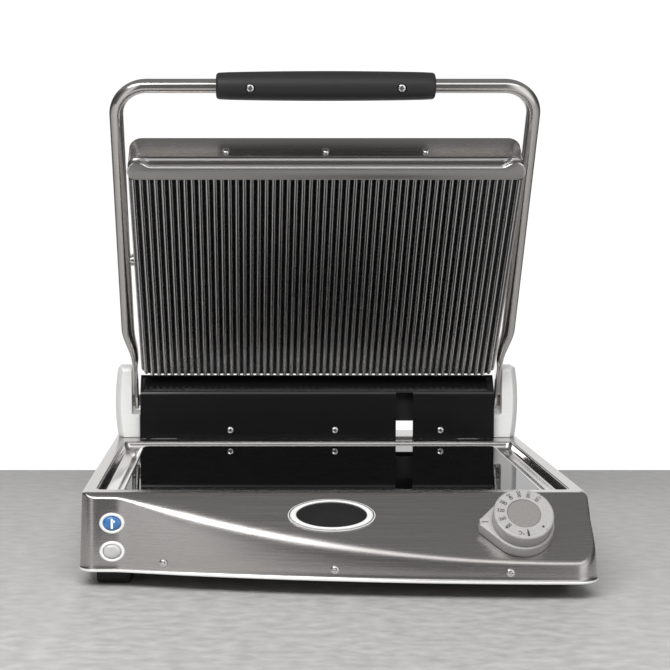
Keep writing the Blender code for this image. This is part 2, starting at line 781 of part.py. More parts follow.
def handle(steel, charcoal, bright, arm):
    """The bent tube with its blades, shaft, grip and pivot bolts."""
    path = tube_path()
    outer = swept(path, [tube_section(point, 0) for point in path])
    inner = swept(path, [tube_section(point, TUBE_WALL) for point in path])
    tube = part("handle_tube", loft(outer + inner[::-1], closed=True), steel, arm)
    stubs = []
    for side in (-1, 1):
        stub = across(turned([(4.4, -8), (4.4, 8)], 12))
        stubs.append(moved(stub, side * (ARM_X - 5.5), -PIVOT_REACH, 0))
    cut(tube, joined(*stubs), arm)

    for side, sign in (("left", -1), ("right", 1)):
        eye = arc(0, 0, 9.5, -80, 80, 8)
        outline = [(y, z) for y, z in eye] + [(-TUBE_START + GAP, 7.0), (-TUBE_START + GAP, -7.0)]
        x0 = sign * BLADE_X - BLADE_THICK / 2
        rings = [[Vector((x, y, z)) for y, z in outline] for x in (x0, x0 + BLADE_THICK)]
        blade = part(f"arm_blade_{side}", loft(rings), steel, arm)
        bore = across(turned([(SHAFT_R + GAP, -8), (SHAFT_R + GAP, 8)], 20))
        cut(blade, moved(bore, sign * BLADE_X, 0, 0), arm)
        pivot_bolt(side, sign, bright, steel, arm)
    shaft = across(turned([(SHAFT_R, -SHAFT_HALF), (SHAFT_R, SHAFT_HALF)], 20))
    part("hinge_shaft", shaft, steel, arm)
    grip(charcoal, bright, arm)


def pivot_bolt(side, sign, bright, steel, arm):
    """A shouldered bolt from inside the lid into the arm, whose collar keeps the two apart."""
    profile = [(5, -9), (5, -5), (4, -5), (4, 3.1), (6.2, 3.1), (6.2, 7.5), (4, 7.5), (4, 13)]
    bolt = across(turned(profile, 14))
    if sign < 0:
        bmesh.ops.rotate(bolt, verts=bolt.verts, matrix=Matrix.Rotation(math.pi, 3, "Z"))
    part(f"pivot_bolt_{side}", moved(bolt, sign * PIVOT_BOLT_X, -PIVOT_REACH, 0), bright, arm)


def grip(charcoal, bright, arm):
    """The barrelled grip round the tube, with its two screws."""
    frame = empty("grip_axis", arm, (0, -HANDLE_REACH, 0))
    bore_r = TUBE_R + GAP
    profile = [(bore_r, -GRIP_HALF), (GRIP_END_R - 1, -GRIP_HALF), (GRIP_END_R, -GRIP_HALF + 1.2)]
    steps = 8
    for i in range(1, steps):
        along = -1 + 2 * i / steps
        profile.append((GRIP_MID_R - (GRIP_MID_R - GRIP_END_R) * along * along, along * GRIP_HALF))
    profile += [(GRIP_END_R, GRIP_HALF - 1.2), (GRIP_END_R - 1, GRIP_HALF), (bore_r, GRIP_HALF)]
    body = part("grip", across(turned(profile, 20, closed=True)), charcoal, frame)
    holes = []
    for side, x in (("left", -GRIP_SCREW_X), ("right", GRIP_SCREW_X)):
        turn = GRIP_SCREW_ANGLE - math.radians(90)
        pocket = [(1.9, 5), (1.9, 10.6), (4.6, 10.6), (4.6, 20)]
        holes.append(moved(turned_about_x(turned(pocket, 12), turn), x))
        stem = [(1.5, 7.8), (1.5, 10.9), (4.1, 10.9), (4.1, 12.2), (2.8, 13.0)]
        shape = moved(turned_about_x(turned(stem, SCREW_SIDES), turn), x)
        part(f"grip_screw_{side}", shape, bright, frame)
    cut(body, joined(*holes), frame)


# The lid


def bezel_outline():
    """The front bar from above: rounded ends standing forward of a long shallow recess."""
    front = PLATE_FRONT - BEZEL_DEEP
    rear = PLATE_FRONT - GAP
    radius = COVER_CORNER_R
    lobe = COVER_HALF - BEZEL_LOBE
    points = arc(-COVER_HALF + radius, front + radius, radius, 180, 270, 6)
    points += [(-lobe, front), (-lobe + 4, front + BEZEL_RECESS)]
    points += [(lobe - 4, front + BEZEL_RECESS), (lobe, front)]
    points += arc(COVER_HALF - radius, front + radius, radius, 270, 360, 6)
    return points + [(COVER_HALF, rear), (-COVER_HALF, rear)]


def cover_outline(grow):
    half = COVER_HALF + grow
    front = PLATE_FRONT - BEZEL_DEEP - grow
    return rounded_rectangle(-half, half, front, COVER_REAR + grow, COVER_CORNER_R + grow, 5)


def lid_shells(steel, bright, base_z, lid):
    """The pressed cover and the front bar below it."""
    rings = [
        at_height(cover_outline(0), base_z),
        at_height(cover_outline(0), COVER_TOP - 3),
        at_height(cover_outline(-0.9), COVER_TOP - 0.9),
        at_height(cover_outline(-3), COVER_TOP),
    ]
    cover = part("lid_cover", loft(rings), steel, lid)
    cut(cover, prism(cover_outline(-SHEET), base_z - 5, COVER_TOP - SHEET), lid)
    holes = [across(turned([(4.6, -200), (4.6, 200)], 14))]
    for x in (-COVER_SCREW_X, 0, COVER_SCREW_X):
        hole = facing_forward(hole_for_screw(depth=6))
        holes.append(moved(hole, x, PLATE_FRONT - BEZEL_DEEP, COVER_SCREW_Z))
    cut(cover, joined(*holes), lid)
    part("lid_bezel", prism(bezel_outline(), PLATE_Z, PLATE_Z + BEZEL_TALL), bright, lid)


def upper_plate(black, lid):
    """The ribbed plate: an extruded section, with rounded corners."""
    root = PLATE_Z + RIB_DEPTH
    outline = [(-PLATE_HALF, PLATE_TOP_Z), (-PLATE_HALF, PLATE_Z + 1)]
    first = -RIB_PITCH * (RIB_COUNT - 1) / 2
    for i in range(RIB_COUNT):
        x = first + RIB_PITCH * i
        outline += [(x - 2.6, root), (x - 1.3, PLATE_Z), (x + 1.3, PLATE_Z), (x + 2.6, root)]
    outline += [(PLATE_HALF, PLATE_Z + 1), (PLATE_HALF, PLATE_TOP_Z)]
    plate = part("upper_plate", extruded_along_y(outline, PLATE_FRONT, PLATE_REAR), black, lid)
    corners = [outside_corner(PLATE_FRONT, 4.0, 180), outside_corner(PLATE_FRONT, 4.0, 270)]
    corners += [outside_corner(PLATE_REAR, 12.0, 0), outside_corner(PLATE_REAR, 12.0, 90)]
    cut(plate, joined(*corners), lid)


def outside_corner(y, radius, start):
    """What rounding takes off one corner of the plate. The arc starts at start degrees."""
    x_side = 1 if start in (0, 270) else -1
    y_side = 1 if start in (0, 90) else -1
    bow = arc(x_side * (PLATE_HALF - radius), y - y_side * radius, radius, start, start + 90, 4)
    corner = (x_side * (PLATE_HALF + 2), y + y_side * 2)
    first = (bow[0][0], corner[1])
    last = (corner[0], bow[-1][1])
    if start in (0, 180):
        first = (corner[0], bow[0][1])
        last = (bow[-1][0], corner[1])
    return prism([first] + bow + [last, corner], PLATE_Z - 5, PLATE_TOP_Z + 5)


def lid_inside(board, element, steel, lid):
    """The upper heater, its insulation and the two pivot brackets."""
    path = serpentine(-150, 150, -110, 105, 7, PLATE_TOP_Z + 4.2)
    part("upper_heater", wire(path, HEATER_R, 6, Vector((0, 0, 1))), element, lid)
    outline = rounded_rectangle(-182, 182, PLATE_FRONT + 2, PLATE_REAR - 4, 8)
    insulation = part("upper_insulation", prism(outline, PLATE_TOP_Z + 8, -8.5), board, lid)
    notches = [box(x - 20, x + 20, -30, 30, -30, 0) for x in (-181, 181)]
    cut(insulation, joined(*notches), lid)
    for side, x in (("left", -BRACKET_X), ("right", BRACKET_X)):
        sheet = box(x - SHEET, x + SHEET, -20, 20, PLATE_TOP_Z + 1, 4.8)
        bracket = part(f"pivot_bracket_{side}", sheet, steel, lid)
        cut(bracket, moved(across(turned([(4.3, -8), (4.3, 8)], 14)), x, 0, 0), lid)


def main():
    for obj in list(bpy.data.objects):
        bpy.data.objects.remove(obj)

    steel = material("brushed_steel", (0.50, 0.48, 0.46), 0.32, 1.0)
    bright = material("bright_steel", (0.72, 0.71, 0.70), 0.18, 1.0)
    dark_steel = material("dark_panel", (0.03, 0.03, 0.032), 0.15, 0.6)
    silver = material("satin_silver", (0.62, 0.61, 0.60), 0.38, 0.8)
    black = material("black_plastic", (0.02, 0.02, 0.02), 0.4, 0.0)
    charcoal = material("charcoal_grip", (0.035, 0.035, 0.038), 0.55, 0.0)
    rubber = material("rubber", (0.02, 0.02, 0.02), 0.8, 0.0)
    glass = material("black_glass", (0.006, 0.006, 0.007), 0.04, 0.0)
    ribbed = material("ribbed_glass", (0.012, 0.012, 0.013), 0.3, 0.0)
    seal = material("silicone", (0.12, 0.12, 0.12), 0.6, 0.0)
    board = material("insulation_board", (0.75, 0.70, 0.58), 0.9, 0.0)
    element = material("heater_tube", (0.18, 0.16, 0.15), 0.5, 1.0)
    plastic = material("white_plastic", (0.75, 0.74, 0.70), 0.5, 0.0)
    blue = material("blue_lens", (0.05, 0.22, 0.45), 0.25, 0.0)
    bronze = material("bronze", (0.45, 0.30, 0.15), 0.4, 1.0)

    knob_reach = math.sin(SLOPE) * (KNOB_BASE_H + KNOB_H - KNOB_CHAMFER) + math.cos(SLOPE) * KNOB_R
    outer_front = KNOB_AT[1] - knob_reach
    outer_rear = REAR_WALL_Y + LIP_OUT
    base = empty("base_frame", None, (0, -(outer_front + outer_rear) / 2, 0))
    base_housing(steel, base)
    bottom_plate(steel, base)
    feet(rubber, base)
    glass_and_heater(glass, seal, steel, board, element, base)
    electrics(plastic, black, base)
    dial(silver, steel, plastic, base)
    button("upper", BUTTON_HEIGHTS["upper"], blue, bright, base)
    button("lower", BUTTON_HEIGHTS["lower"], silver, bright, base)
    badge(bright, black, base)
    rear_panel(dark_steel, steel, base)
    for side, sign in (("left", -1), ("right", 1)):
        tower(side, sign, silver, bronze, base)
    spring_cover(black, steel, base)
    for side, x in FRONT_SCREW_XS.items():
        screw(f"front_screw_{side}", bright, base, (x, -skirt_depth(x), FRONT_SCREW_Z), skirt_swing(x))
    for side, x in PANEL_SCREW_XS.items():
        screw(f"panel_screw_{side}", bright, base, (x, PANEL_Y, PANEL_SCREW_Z))

    arm = empty("arm_axis", base, (0, HINGE_Y, HINGE_Z), math.radians(-REST_TILT))
    handle(steel, charcoal, bright, arm)

    lid = empty("lid_axis", arm, (0, -PIVOT_REACH, 0), math.radians(REST_TILT - LID_TILT))
    lid_shells(steel, bright, PLATE_Z + BEZEL_TALL + GAP, lid)
    upper_plate(ribbed, lid)
    lid_inside(board, element, steel, lid)
    for side, x in (("left", -COVER_SCREW_X), ("middle", 0.0), ("right", COVER_SCREW_X)):
        at = (x, PLATE_FRONT - BEZEL_DEEP, COVER_SCREW_Z)
        screw(f"cover_screw_{side}", bright, lid, at, length=5.0)


main()
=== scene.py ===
"""The panini press as it looks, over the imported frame: its finished surfaces, materials, light and camera.

Shapes are laid out in millimetres in four spaces that follow the frame's own joints: the base, the handle
lying level from its shaft, the lid lying level from its pivots, and the dial with Z out of its face.
"""

import json
import math

import bmesh
import bpy
from mathutils import Matrix, Vector

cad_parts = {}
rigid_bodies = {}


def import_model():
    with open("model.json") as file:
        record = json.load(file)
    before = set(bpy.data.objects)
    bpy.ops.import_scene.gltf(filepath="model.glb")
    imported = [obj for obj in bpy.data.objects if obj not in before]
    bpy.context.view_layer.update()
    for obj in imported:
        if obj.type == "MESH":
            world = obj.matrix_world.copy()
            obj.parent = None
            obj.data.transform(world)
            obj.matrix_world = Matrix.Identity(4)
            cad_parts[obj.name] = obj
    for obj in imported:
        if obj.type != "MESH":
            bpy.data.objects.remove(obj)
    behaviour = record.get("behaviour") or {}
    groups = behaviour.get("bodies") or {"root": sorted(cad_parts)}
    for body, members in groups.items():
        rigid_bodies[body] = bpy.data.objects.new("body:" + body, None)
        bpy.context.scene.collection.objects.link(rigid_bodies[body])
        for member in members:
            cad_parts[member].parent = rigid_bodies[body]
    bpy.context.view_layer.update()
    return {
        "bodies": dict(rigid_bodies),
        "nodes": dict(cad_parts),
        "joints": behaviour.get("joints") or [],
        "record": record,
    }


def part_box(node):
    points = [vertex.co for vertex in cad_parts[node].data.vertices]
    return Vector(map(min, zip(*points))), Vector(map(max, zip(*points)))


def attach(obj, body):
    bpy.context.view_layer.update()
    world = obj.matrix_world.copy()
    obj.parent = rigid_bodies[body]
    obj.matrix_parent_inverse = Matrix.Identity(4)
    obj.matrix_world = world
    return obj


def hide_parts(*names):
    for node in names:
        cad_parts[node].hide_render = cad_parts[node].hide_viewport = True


MM = 0.001

# The base housing
LIP_OUT = 2.8
WALL_HALF = 216.2
RIM_Z = 82.3
REAR_WALL_Y = 402.2
SKIRT_NEAR = 4.0
SKIRT_FAR = 50.7
SWEEP_START_X = -184.0
SWEEP_END_X = 197.0
SWEEP_SOFTNESS = 0.012
SWEEP_POWER = 2.1
LEFT_CORNER_R = 12.0
RIGHT_CORNER_R = 18.0
REAR_CORNER_R = 14.0
RIM_INSET = 5.0
RIM_FILLET = 3.0
CREASE_FILLET = 11.0
OPENING_FILLET = 1.0
FILLET_SHARE = 0.45
SHEET = 1.2
OPENING_HALF = 204.7
OPENING_YS = (15.0, 309.0)
OPENING_R = 6.0
GLASS_HALF = 180.5
GLASS_YS = (25.5, 288.5)
GLASS_R = 4.0
GLASS_TOP_Z = 80.4
SEAL_THICK = 1.6
WINDOW_HALF = 171.0
WINDOW_YS = (35.0, 279.0)
SLOPE = math.radians(45)
FOOT_OF_SKIRT_Z = 23.0
# The skirt leans out downwards by this much, and this much more for each millimetre of its height
LEAN_LEAST = 1.0
LEAN_PER_MM = 0.017
# The rolled lip: how far out, from the foot of the skirt at 0 to the widest line at 1, and the height
LIP_PROFILE = (
    (0.0, 23.0),
    (0.05, 21.2),
    (0.2, 19.2),
    (0.48, 17.8),
    (0.8, 17.2),
    (0.96, 16.8),
    (1.0, 16.1),
    (0.9, 15.4),
    (0.6, 14.9),
    (0.2, 14.8),
    (-0.4, 15.1),
    (-1.6, 15.6),
    (-1.8, 21.0),
)
# The height band of the rolled lip that takes the chrome finish: a painted highlight along the lip, which is
# the same steel sheet as the skirt
LIP_HIGHLIGHT_LOW_Z = 14.9
LIP_HIGHLIGHT_TOP_Z = 17.3
SCREW_HEAD_R = 3.65
FRONT_SCREW_Z = 24.5
PANEL_SCREW_Z = 91.8
FOOT_CORNER_R = 3.0
FOOT_PANEL_DEEP = 0.7

# The controls
KNOB_R = 25.0
KNOB_BASE_R = 27.0
KNOB_BASE_POINT = 35.0
KNOB_BASE_H = 12.0
KNOB_TOP = 24.9
KNOB_RECESS_R = 13.9
KNOB_DISC_R = 13.6
BUTTON_X = -189.3
BUTTON_SHAPE = 9.0 / 11.0
SWITCH_HOLE_R = 9.0
SPINDLE_HOLE_R = 5.0
BADGE_SHAPE = 0.425
DIAL_NUMBERS = {400: 228, 360: 253, 320: 278, 280: 303, 240: 328, 200: 353, 160: 17, 120: 42}
DIAL_OFF_ANGLE = 133
DIAL_UNIT_ANGLE = 182
DIAL_WEDGE_ANGLE = 176
DIAL_NUMBER_R = 22.4
DIAL_NUMBER_HEIGHT = 3.1
DIAL_DOT_R = 19.5
DIAL_UNIT_R = 19.3
DIAL_UNIT_HEIGHT = 3.4
MARK_PROUD = 0.06
MARK_SUNK = 0.05
# The height of a capital as a share of the lettering's size
CAPITAL_SHARE = 0.72
LETTER_BOLDNESS = 0.09

# The rear panel and the towers
UPRIGHTS_Z = RIM_Z + 0.3
PANEL_Y = 329.0
PANEL_HALF = 188.5
PANEL_THICK = 2.0
PANEL_BEND_Z = 131.0
PANEL_FLANGE = (13.6, 18.5)
SLOT_XS = (84.0, 102.0)
HINGE_Y = 360.6
HINGE_Z = 120.4
TOWER_YS = (339.0, 388.0)
TOWER_INNER_X = 198.3
TOWER_FOOT_X = 189.6
TOWER_OUTER_X = 216.0
TOWER_WAIST_IN = 3.0
TOWER_FOOT_Z = 107.0
TOWER_TOP_Z = 157.6
TOWER_FRONT_LEAN = math.radians(35)
TOWER_REAR_LEAN = math.radians(28)
BUSH_R = 9.3
BUSH_X = 206.2
BUSH_HALF = 8.2
SHAFT_HOLE_R = 6.3

# The handle, level
REST_TILT = math.radians(-59.7)
TUBE_R = 7.0
ARM_X = 200.0
BLADE_X = 193.7
BLADE_HALF = 2.5
EYE_R = 9.5
HANDLE_REACH = 372.1
BEND_R = 30.0
TUBE_START = 56.0
FLAT_RUN = 38.0
FLAT_TALL = 9.0
FLAT_WIDE = 4.0
GRIP_HALF = 104.0
GRIP_END_R = 12.8
GRIP_MID_R = 14.1
GRIP_SCREW_ANGLE = math.radians(255)
GRIP_SCREW_HEAD_R = 4.1
GRIP_POCKET_R = 4.6
GRIP_POCKET_FLOOR_R = 10.6

# The lid, level
LID_TILT = math.radians(-50)
PIVOT_REACH = 178.3
PIVOT_BOLT_X = 185.0
PIVOT_BORE_R = 4.6
PLATE_YS = (-134.2, 129.4)
PLATE_HALF = 186.5
PLATE_Z = -38.5
PLATE_TOP = -24.1
PLATE_FRONT_R = 4.0
PLATE_REAR_R = 12.0
RIB_COUNT = 53
RIB_PITCH = 7.0
RIB_DEPTH = 3.0
RIB_HALF = 2.1
BEZEL_FRONT = -150.8
BEZEL_REAR = PLATE_YS[0] - 0.3
BEZEL_LOBE_R = 9.5
BEZEL_LOBE_X = 177.0
BEZEL_RECESS_X = 165.0
COVER_HALF = 187.7
COVER_LOW = -23.8
COVER_TOP = 6.8
COVER_REAR = 131.2
COVER_CORNER_R = 13.0
COVER_FILLET = 3.0
COVER_SCREW_Z = -16.6


# Outlines and bare shapes, in millimetres


def arc(cx, cy, radius, start, end, steps):
    """Points of a circular arc, angles in degrees, both ends included."""
    angles = [math.radians(start + (end - start) * i / steps) for i in range(steps + 1)]
    return [(cx + radius * math.cos(a), cy + radius * math.sin(a)) for a in angles]


def rounded_rectangle(x0, x1, y0, y1, radius, steps=6):
    return (
        arc(x0 + radius, y0 + radius, radius, 180, 270, steps)
        + arc(x1 - radius, y0 + radius, radius, 270, 360, steps)
        + arc(x1 - radius, y1 - radius, radius, 0, 90, steps)
        + arc(x0 + radius, y1 - radius, radius, 90, 180, steps)
    )


def oval(half_x, half_y, steps):
    angles = [math.tau * i / steps for i in range(steps)]
    return [(half_x * math.cos(a), half_y * math.sin(a)) for a in angles]


def at_height(outline, z):
    return [Vector((x, y, z)) for x, y in outline]


def loft(rings, closed=False):
    """A solid skinned through rings of equal length, capped at both ends unless it closes on itself."""
    bm = bmesh.new()
    rows = [[bm.verts.new(point) for point in ring] for ring in rings]
    following = rows[1:] + rows[:1] if closed else rows[1:]
    for lower, upper in zip(rows, following):
        for i in range(len(lower)):
            j = (i + 1) % len(lower)
            bm.faces.new((lower[i], lower[j], upper[j], upper[i]))
    if not closed:
        bm.faces.new(rows[0][::-1])
        bm.faces.new(rows[-1])
    bmesh.ops.recalc_face_normals(bm, faces=bm.faces)
    return bm


def prism(outline, z0, z1):
    return loft([at_height(outline, z0), at_height(outline, z1)])


def box(x0, x1, y0, y1, z0, z1):
    return prism([(x0, y0), (x1, y0), (x1, y1), (x0, y1)], z0, z1)


def turned(profile, steps=48, closed=False):
    """A solid turned about local Z through (radius, z) points."""
    rings = []
    for radius, z in profile:
        rings.append(at_height(oval(radius, radius, steps), z))
    return loft(rings, closed)


def along_x(outline, x0, x1):
    """A prism along X whose outline is given as (y, z) points."""
    return loft([[Vector((x, y, z)) for y, z in outline] for x in (x0, x1)])


def along_y(outline, y0, y1):
    """A prism along Y whose outline is given as (x, z) points."""
    return loft([[Vector((x, y, z)) for x, z in outline] for y in (y0, y1)])


def moved(bm, matrix):
    bm.transform(matrix)
    return bm


def shifted(bm, x=0.0, y=0.0, z=0.0):
    return moved(bm, Matrix.Translation((x, y, z)))


def across(bm):
    """Turns a shape made about Z so that it lies about X."""
    return moved(bm, Matrix.Rotation(math.radians(90), 4, "Y"))


def facing(at, tilt=math.radians(90), swing=0.0):
    """A place whose Z points forward and, with less tilt, up, turned about the upright by swing."""
    return Matrix.Translation(at) @ Matrix.Rotation(swing, 4, "Z") @ Matrix.Rotation(tilt, 4, "X")


def joined(*shapes):
    whole = bmesh.new()
    for shape in shapes:
        mesh = bpy.data.meshes.new("joined")
        shape.to_mesh(mesh)
        shape.free()
        whole.from_mesh(mesh)
        bpy.data.meshes.remove(mesh)
    return whole


def bevelled(bm, width, segments=3, angle=math.radians(35)):
    """Rounds every edge that turns by more than an angle."""
    edges = [edge for edge in bm.edges if edge.is_manifold and edge.calc_face_angle(0.0) > angle]
    bmesh.ops.bevel(bm, geom=edges, offset=width, segments=segments, profile=0.5, affect="EDGES")
    return bm


def sliced(bm, point, normal):
    """Cuts away what lies beyond a plane and closes the cut."""
    geometry = list(bm.verts) + list(bm.edges) + list(bm.faces)
    bmesh.ops.bisect_plane(bm, geom=geometry, plane_co=point, plane_no=normal, clear_outer=True)
    rim = [edge for edge in bm.edges if edge.is_boundary]
    bmesh.ops.contextual_create(bm, geom=rim)
    bmesh.ops.recalc_face_normals(bm, faces=bm.faces)
    return bm


def loose_object(bm):
    mesh = bpy.data.meshes.new("loose")
    bm.to_mesh(mesh)
    bm.free()
    obj = bpy.data.objects.new("loose", mesh)
    bpy.context.collection.objects.link(obj)
    return obj


def carved(bm, *cutters):
    """The shape with each cutter taken out of it."""
    body = loose_object(bm)
    knives = []
    for cutter in cutters:
        knife = loose_object(cutter)
        modifier = body.modifiers.new("cut", "BOOLEAN")
        modifier.operation = "DIFFERENCE"
        modifier.solver = "EXACT"
        modifier.object = knife
        knives.append(knife)
    evaluated = body.evaluated_get(bpy.context.evaluated_depsgraph_get())
    result = bmesh.new()
    result.from_mesh(evaluated.to_mesh())
    evaluated.to_mesh_clear()
    for obj in [body] + knives:
        mesh = obj.data
        bpy.data.objects.remove(obj)
        bpy.data.meshes.remove(mesh)
    return result


def filleted(points, radii, steps=5):
    """An open path through points, with each inner corner rounded to its own radius."""
    path = [points[0]]
    for before, corner, after, radius in zip(points, points[1:], points[2:], radii):
        to_before = before - corner
        to_after = after - corner
        reach = min(radius, FILLET_SHARE * to_before.length, FILLET_SHARE * to_after.length)
        start = corner + to_before.normalized() * reach
        end = corner + to_after.normalized() * reach
        for i in range(steps + 1):
            t = i / steps
            path.append(start * (1 - t) ** 2 + corner * 2 * t * (1 - t) + end * t * t)
    path.append(points[-1])
    return path


# Spaces and pieces


def joint_place(frame, name):
    found = [joint for joint in frame["joints"] if joint["name"] == name]
    return Matrix.Translation(found[0]["pos_m"])


def spaces(frame):
    """Each space's matrix, from its millimetres to the frame's metres."""
    scale = Matrix.Scale(MM, 4)
    hinge = joint_place(frame, "arm_hinge")
    base_y = hinge.translation.y - HINGE_Y * MM
    return {
        "base": Matrix.Translation((0, base_y, 0)) @ scale,
        "arm": hinge @ Matrix.Rotation(REST_TILT, 4, "X") @ scale,
        "lid": joint_place(frame, "lid_pivot") @ Matrix.Rotation(LID_TILT, 4, "X") @ scale,
        "dial": joint_place(frame, "dial_turn") @ Matrix.Rotation(SLOPE, 4, "X") @ scale,
    }


def base_point(space, x, y, z):
    """A point of the frame, in metres, in the base's millimetres."""
    return space["base"].inverted() @ Vector((x, y, z))


def node_centre(space, node):
    low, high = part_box(node)
    return space["base"].inverted() @ ((low + high) / 2)


def piece(name, bm, space, body, finish, stands_for=(), sharp=35):
    """One visible piece, baked into the frame's metres, riding on its body."""
    mesh = bpy.data.meshes.new(name)
    bm.transform(space)
    bmesh.ops.recalc_face_normals(bm, faces=bm.faces)
    bm.to_mesh(mesh)
    bm.free()
    obj = bpy.data.objects.new(name, mesh)
    bpy.context.collection.objects.link(obj)
    mesh.materials.append(finish)
    mesh.shade_smooth()
    mesh.set_sharp_from_angle(angle=math.radians(sharp))
    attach(obj, body)
    if stands_for:
        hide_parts(*stands_for)
    return obj


# Materials


def grain(tree, stretch, detail=5.0):
    """Noise in the piece's own metres. Small factors draw it out along that axis."""
    place = tree.nodes.new("ShaderNodeTexCoord")
    mapping = tree.nodes.new("ShaderNodeMapping")
    mapping.inputs["Scale"].default_value = stretch
    noise = tree.nodes.new("ShaderNodeTexNoise")
    noise.inputs["Scale"].default_value = 1.0
    noise.inputs["Detail"].default_value = detail
    tree.links.new(place.outputs["Object"], mapping.inputs["Vector"])
    tree.links.new(mapping.outputs["Vector"], noise.inputs["Vector"])
    return noise.outputs["Fac"]


def ranged(tree, value, low, high):
    node = tree.nodes.new("ShaderNodeMapRange")
    node.inputs["From Min"].default_value = 0.3
    node.inputs["From Max"].default_value = 0.7
    node.inputs["To Min"].default_value = low
    node.inputs["To Max"].default_value = high
    tree.links.new(value, node.inputs["Value"])
    return node.outputs["Result"]


def finish(name, dark, light, roughness, stretch, metallic=0.0, bump=0.0):
    """A material whose colour, roughness and relief follow one stretched grain."""
    made = bpy.data.materials.new(name)
    made.use_nodes = True
    tree = made.node_tree
    shader = tree.nodes["Principled BSDF"]
    shader.inputs["Metallic"].default_value = metallic
    value = grain(tree, stretch)
    ramp = tree.nodes.new("ShaderNodeValToRGB")
    ramp.color_ramp.elements[0].position = 0.3
    ramp.color_ramp.elements[1].position = 0.7
    ramp.color_ramp.elements[0].color = (*dark, 1)
    ramp.color_ramp.elements[1].color = (*light, 1)
    tree.links.new(value, ramp.inputs["Fac"])
    tree.links.new(ramp.outputs["Color"], shader.inputs["Base Color"])
    tree.links.new(ranged(tree, value, *roughness), shader.inputs["Roughness"])
    if bump:
        relief = tree.nodes.new("ShaderNodeBump")
        relief.inputs["Strength"].default_value = 1.0
        relief.inputs["Distance"].default_value = bump * MM
        tree.links.new(value, relief.inputs["Height"])
        tree.links.new(relief.outputs["Normal"], shader.inputs["Normal"])
    return made


BRUSHED_X = (10.0, 0.0, 2200.0)
FINE = (1500.0, 1500.0, 1500.0)
CLOUDY = (60.0, 60.0, 60.0)
SATIN = (700.0, 700.0, 700.0)
RIPPLED = (150.0, 150.0, 150.0)

# Each finish: dark colour, light colour, roughness from and to, grain, metallic and relief in millimetres
FINISHES = {
    "brushed_steel": ((0.52, 0.50, 0.485), (0.58, 0.56, 0.545), (0.20, 0.30), BRUSHED_X, 1.0, 0.001),
    # Bright steel for the screws and bolts; on the front bar's beads it is a painted highlight
    "bright_steel": ((0.80, 0.79, 0.78), (0.84, 0.83, 0.82), (0.10, 0.16), FINE, 1.0, 0.0005),
    "bar_steel": ((0.40, 0.39, 0.38), (0.46, 0.45, 0.44), (0.30, 0.38), FINE, 1.0, 0.001),
    "channel_steel": ((0.62, 0.60, 0.59), (0.70, 0.68, 0.67), (0.10, 0.16), FINE, 1.0, 0.001),
    # Chrome for the bezels and the badge; on the rolled lip of the base it is a painted highlight
    "chrome": ((0.90, 0.90, 0.89), (0.95, 0.95, 0.94), (0.20, 0.26), CLOUDY, 0.5, 0.0),
    "tube_steel": ((0.72, 0.70, 0.68), (0.76, 0.74, 0.72), (0.13, 0.17), CLOUDY, 1.0, 0.0),
    "dark_panel": ((0.004, 0.004, 0.0045), (0.006, 0.006, 0.0065), (0.12, 0.17), BRUSHED_X, 0.0, 0.001),
    "satin_silver": ((0.72, 0.72, 0.71), (0.78, 0.78, 0.77), (0.36, 0.44), SATIN, 0.25, 0.003),
    "knob_silver": ((0.35, 0.34, 0.33), (0.41, 0.40, 0.39), (0.34, 0.42), SATIN, 0.25, 0.002),
    "knob_disc_silver": ((0.23, 0.22, 0.21), (0.27, 0.26, 0.25), (0.38, 0.46), SATIN, 0.35, 0.002),
    "button_silver": ((0.40, 0.40, 0.39), (0.54, 0.53, 0.52), (0.18, 0.26), CLOUDY, 0.2, 0.0),
    "black_plastic": ((0.008, 0.008, 0.008), (0.012, 0.012, 0.012), (0.08, 0.12), CLOUDY, 0.0, 0.0),
    "black_cover": ((0.006, 0.006, 0.006), (0.010, 0.010, 0.010), (0.5, 0.6), FINE, 0.0, 0.01),
    "charcoal_grip": ((0.010, 0.010, 0.0105), (0.018, 0.018, 0.019), (0.42, 0.55), FINE, 0.0, 0.05),
    "foot_rubber": ((0.014, 0.014, 0.014), (0.022, 0.022, 0.022), (0.6, 0.75), FINE, 0.0, 0.04),
    "black_glass": ((0.002, 0.002, 0.002), (0.004, 0.004, 0.004), (0.01, 0.03), CLOUDY, 0.0, 0.0),
    "ribbed_glass": ((0.003, 0.003, 0.003), (0.006, 0.006, 0.006), (0.2, 0.3), SATIN, 0.0, 0.0),
    # A bright metal for the glass ribs: a painted highlight, not the glass's own finish
    "rib_painted_highlight": ((0.82, 0.82, 0.82), (0.88, 0.88, 0.88), (0.20, 0.26), SATIN, 1.0, 0.0),
    "silicone": ((0.01, 0.01, 0.01), (0.02, 0.02, 0.02), (0.4, 0.5), FINE, 0.0, 0.02),
    "insulation_board": ((0.62, 0.56, 0.44), (0.74, 0.68, 0.56), (0.8, 0.95), SATIN, 0.0, 0.1),
    "heater_tube": ((0.12, 0.10, 0.09), (0.20, 0.18, 0.16), (0.4, 0.55), SATIN, 1.0, 0.02),
    "switch_plastic": ((0.68, 0.67, 0.62), (0.74, 0.73, 0.69), (0.4, 0.5), CLOUDY, 0.0, 0.0),
    "blue_lens": ((0.015, 0.09, 0.26), (0.04, 0.17, 0.40), (0.08, 0.14), RIPPLED, 0.0, 0.0),
    "bronze": ((0.40, 0.26, 0.12), (0.50, 0.34, 0.18), (0.3, 0.4), SATIN, 1.0, 0.01),
    "spring_steel": ((0.30, 0.29, 0.28), (0.38, 0.37, 0.36), (0.25, 0.35), SATIN, 1.0, 0.01),
    "ink": ((0.03, 0.03, 0.03), (0.05, 0.05, 0.05), (0.4, 0.5), FINE),
    "white_mark": ((0.75, 0.78, 0.80), (0.85, 0.87, 0.88), (0.3, 0.4), FINE),
}


def materials():
    """Every finish of the press, by its slot in the record, and a few for details."""
    made = {name: finish(name, *values) for name, values in FINISHES.items()}
    lens = made["blue_lens"].node_tree.nodes["Principled BSDF"]
    lens.inputs["Coat Weight"].default_value = 1.0
    return made


# The base


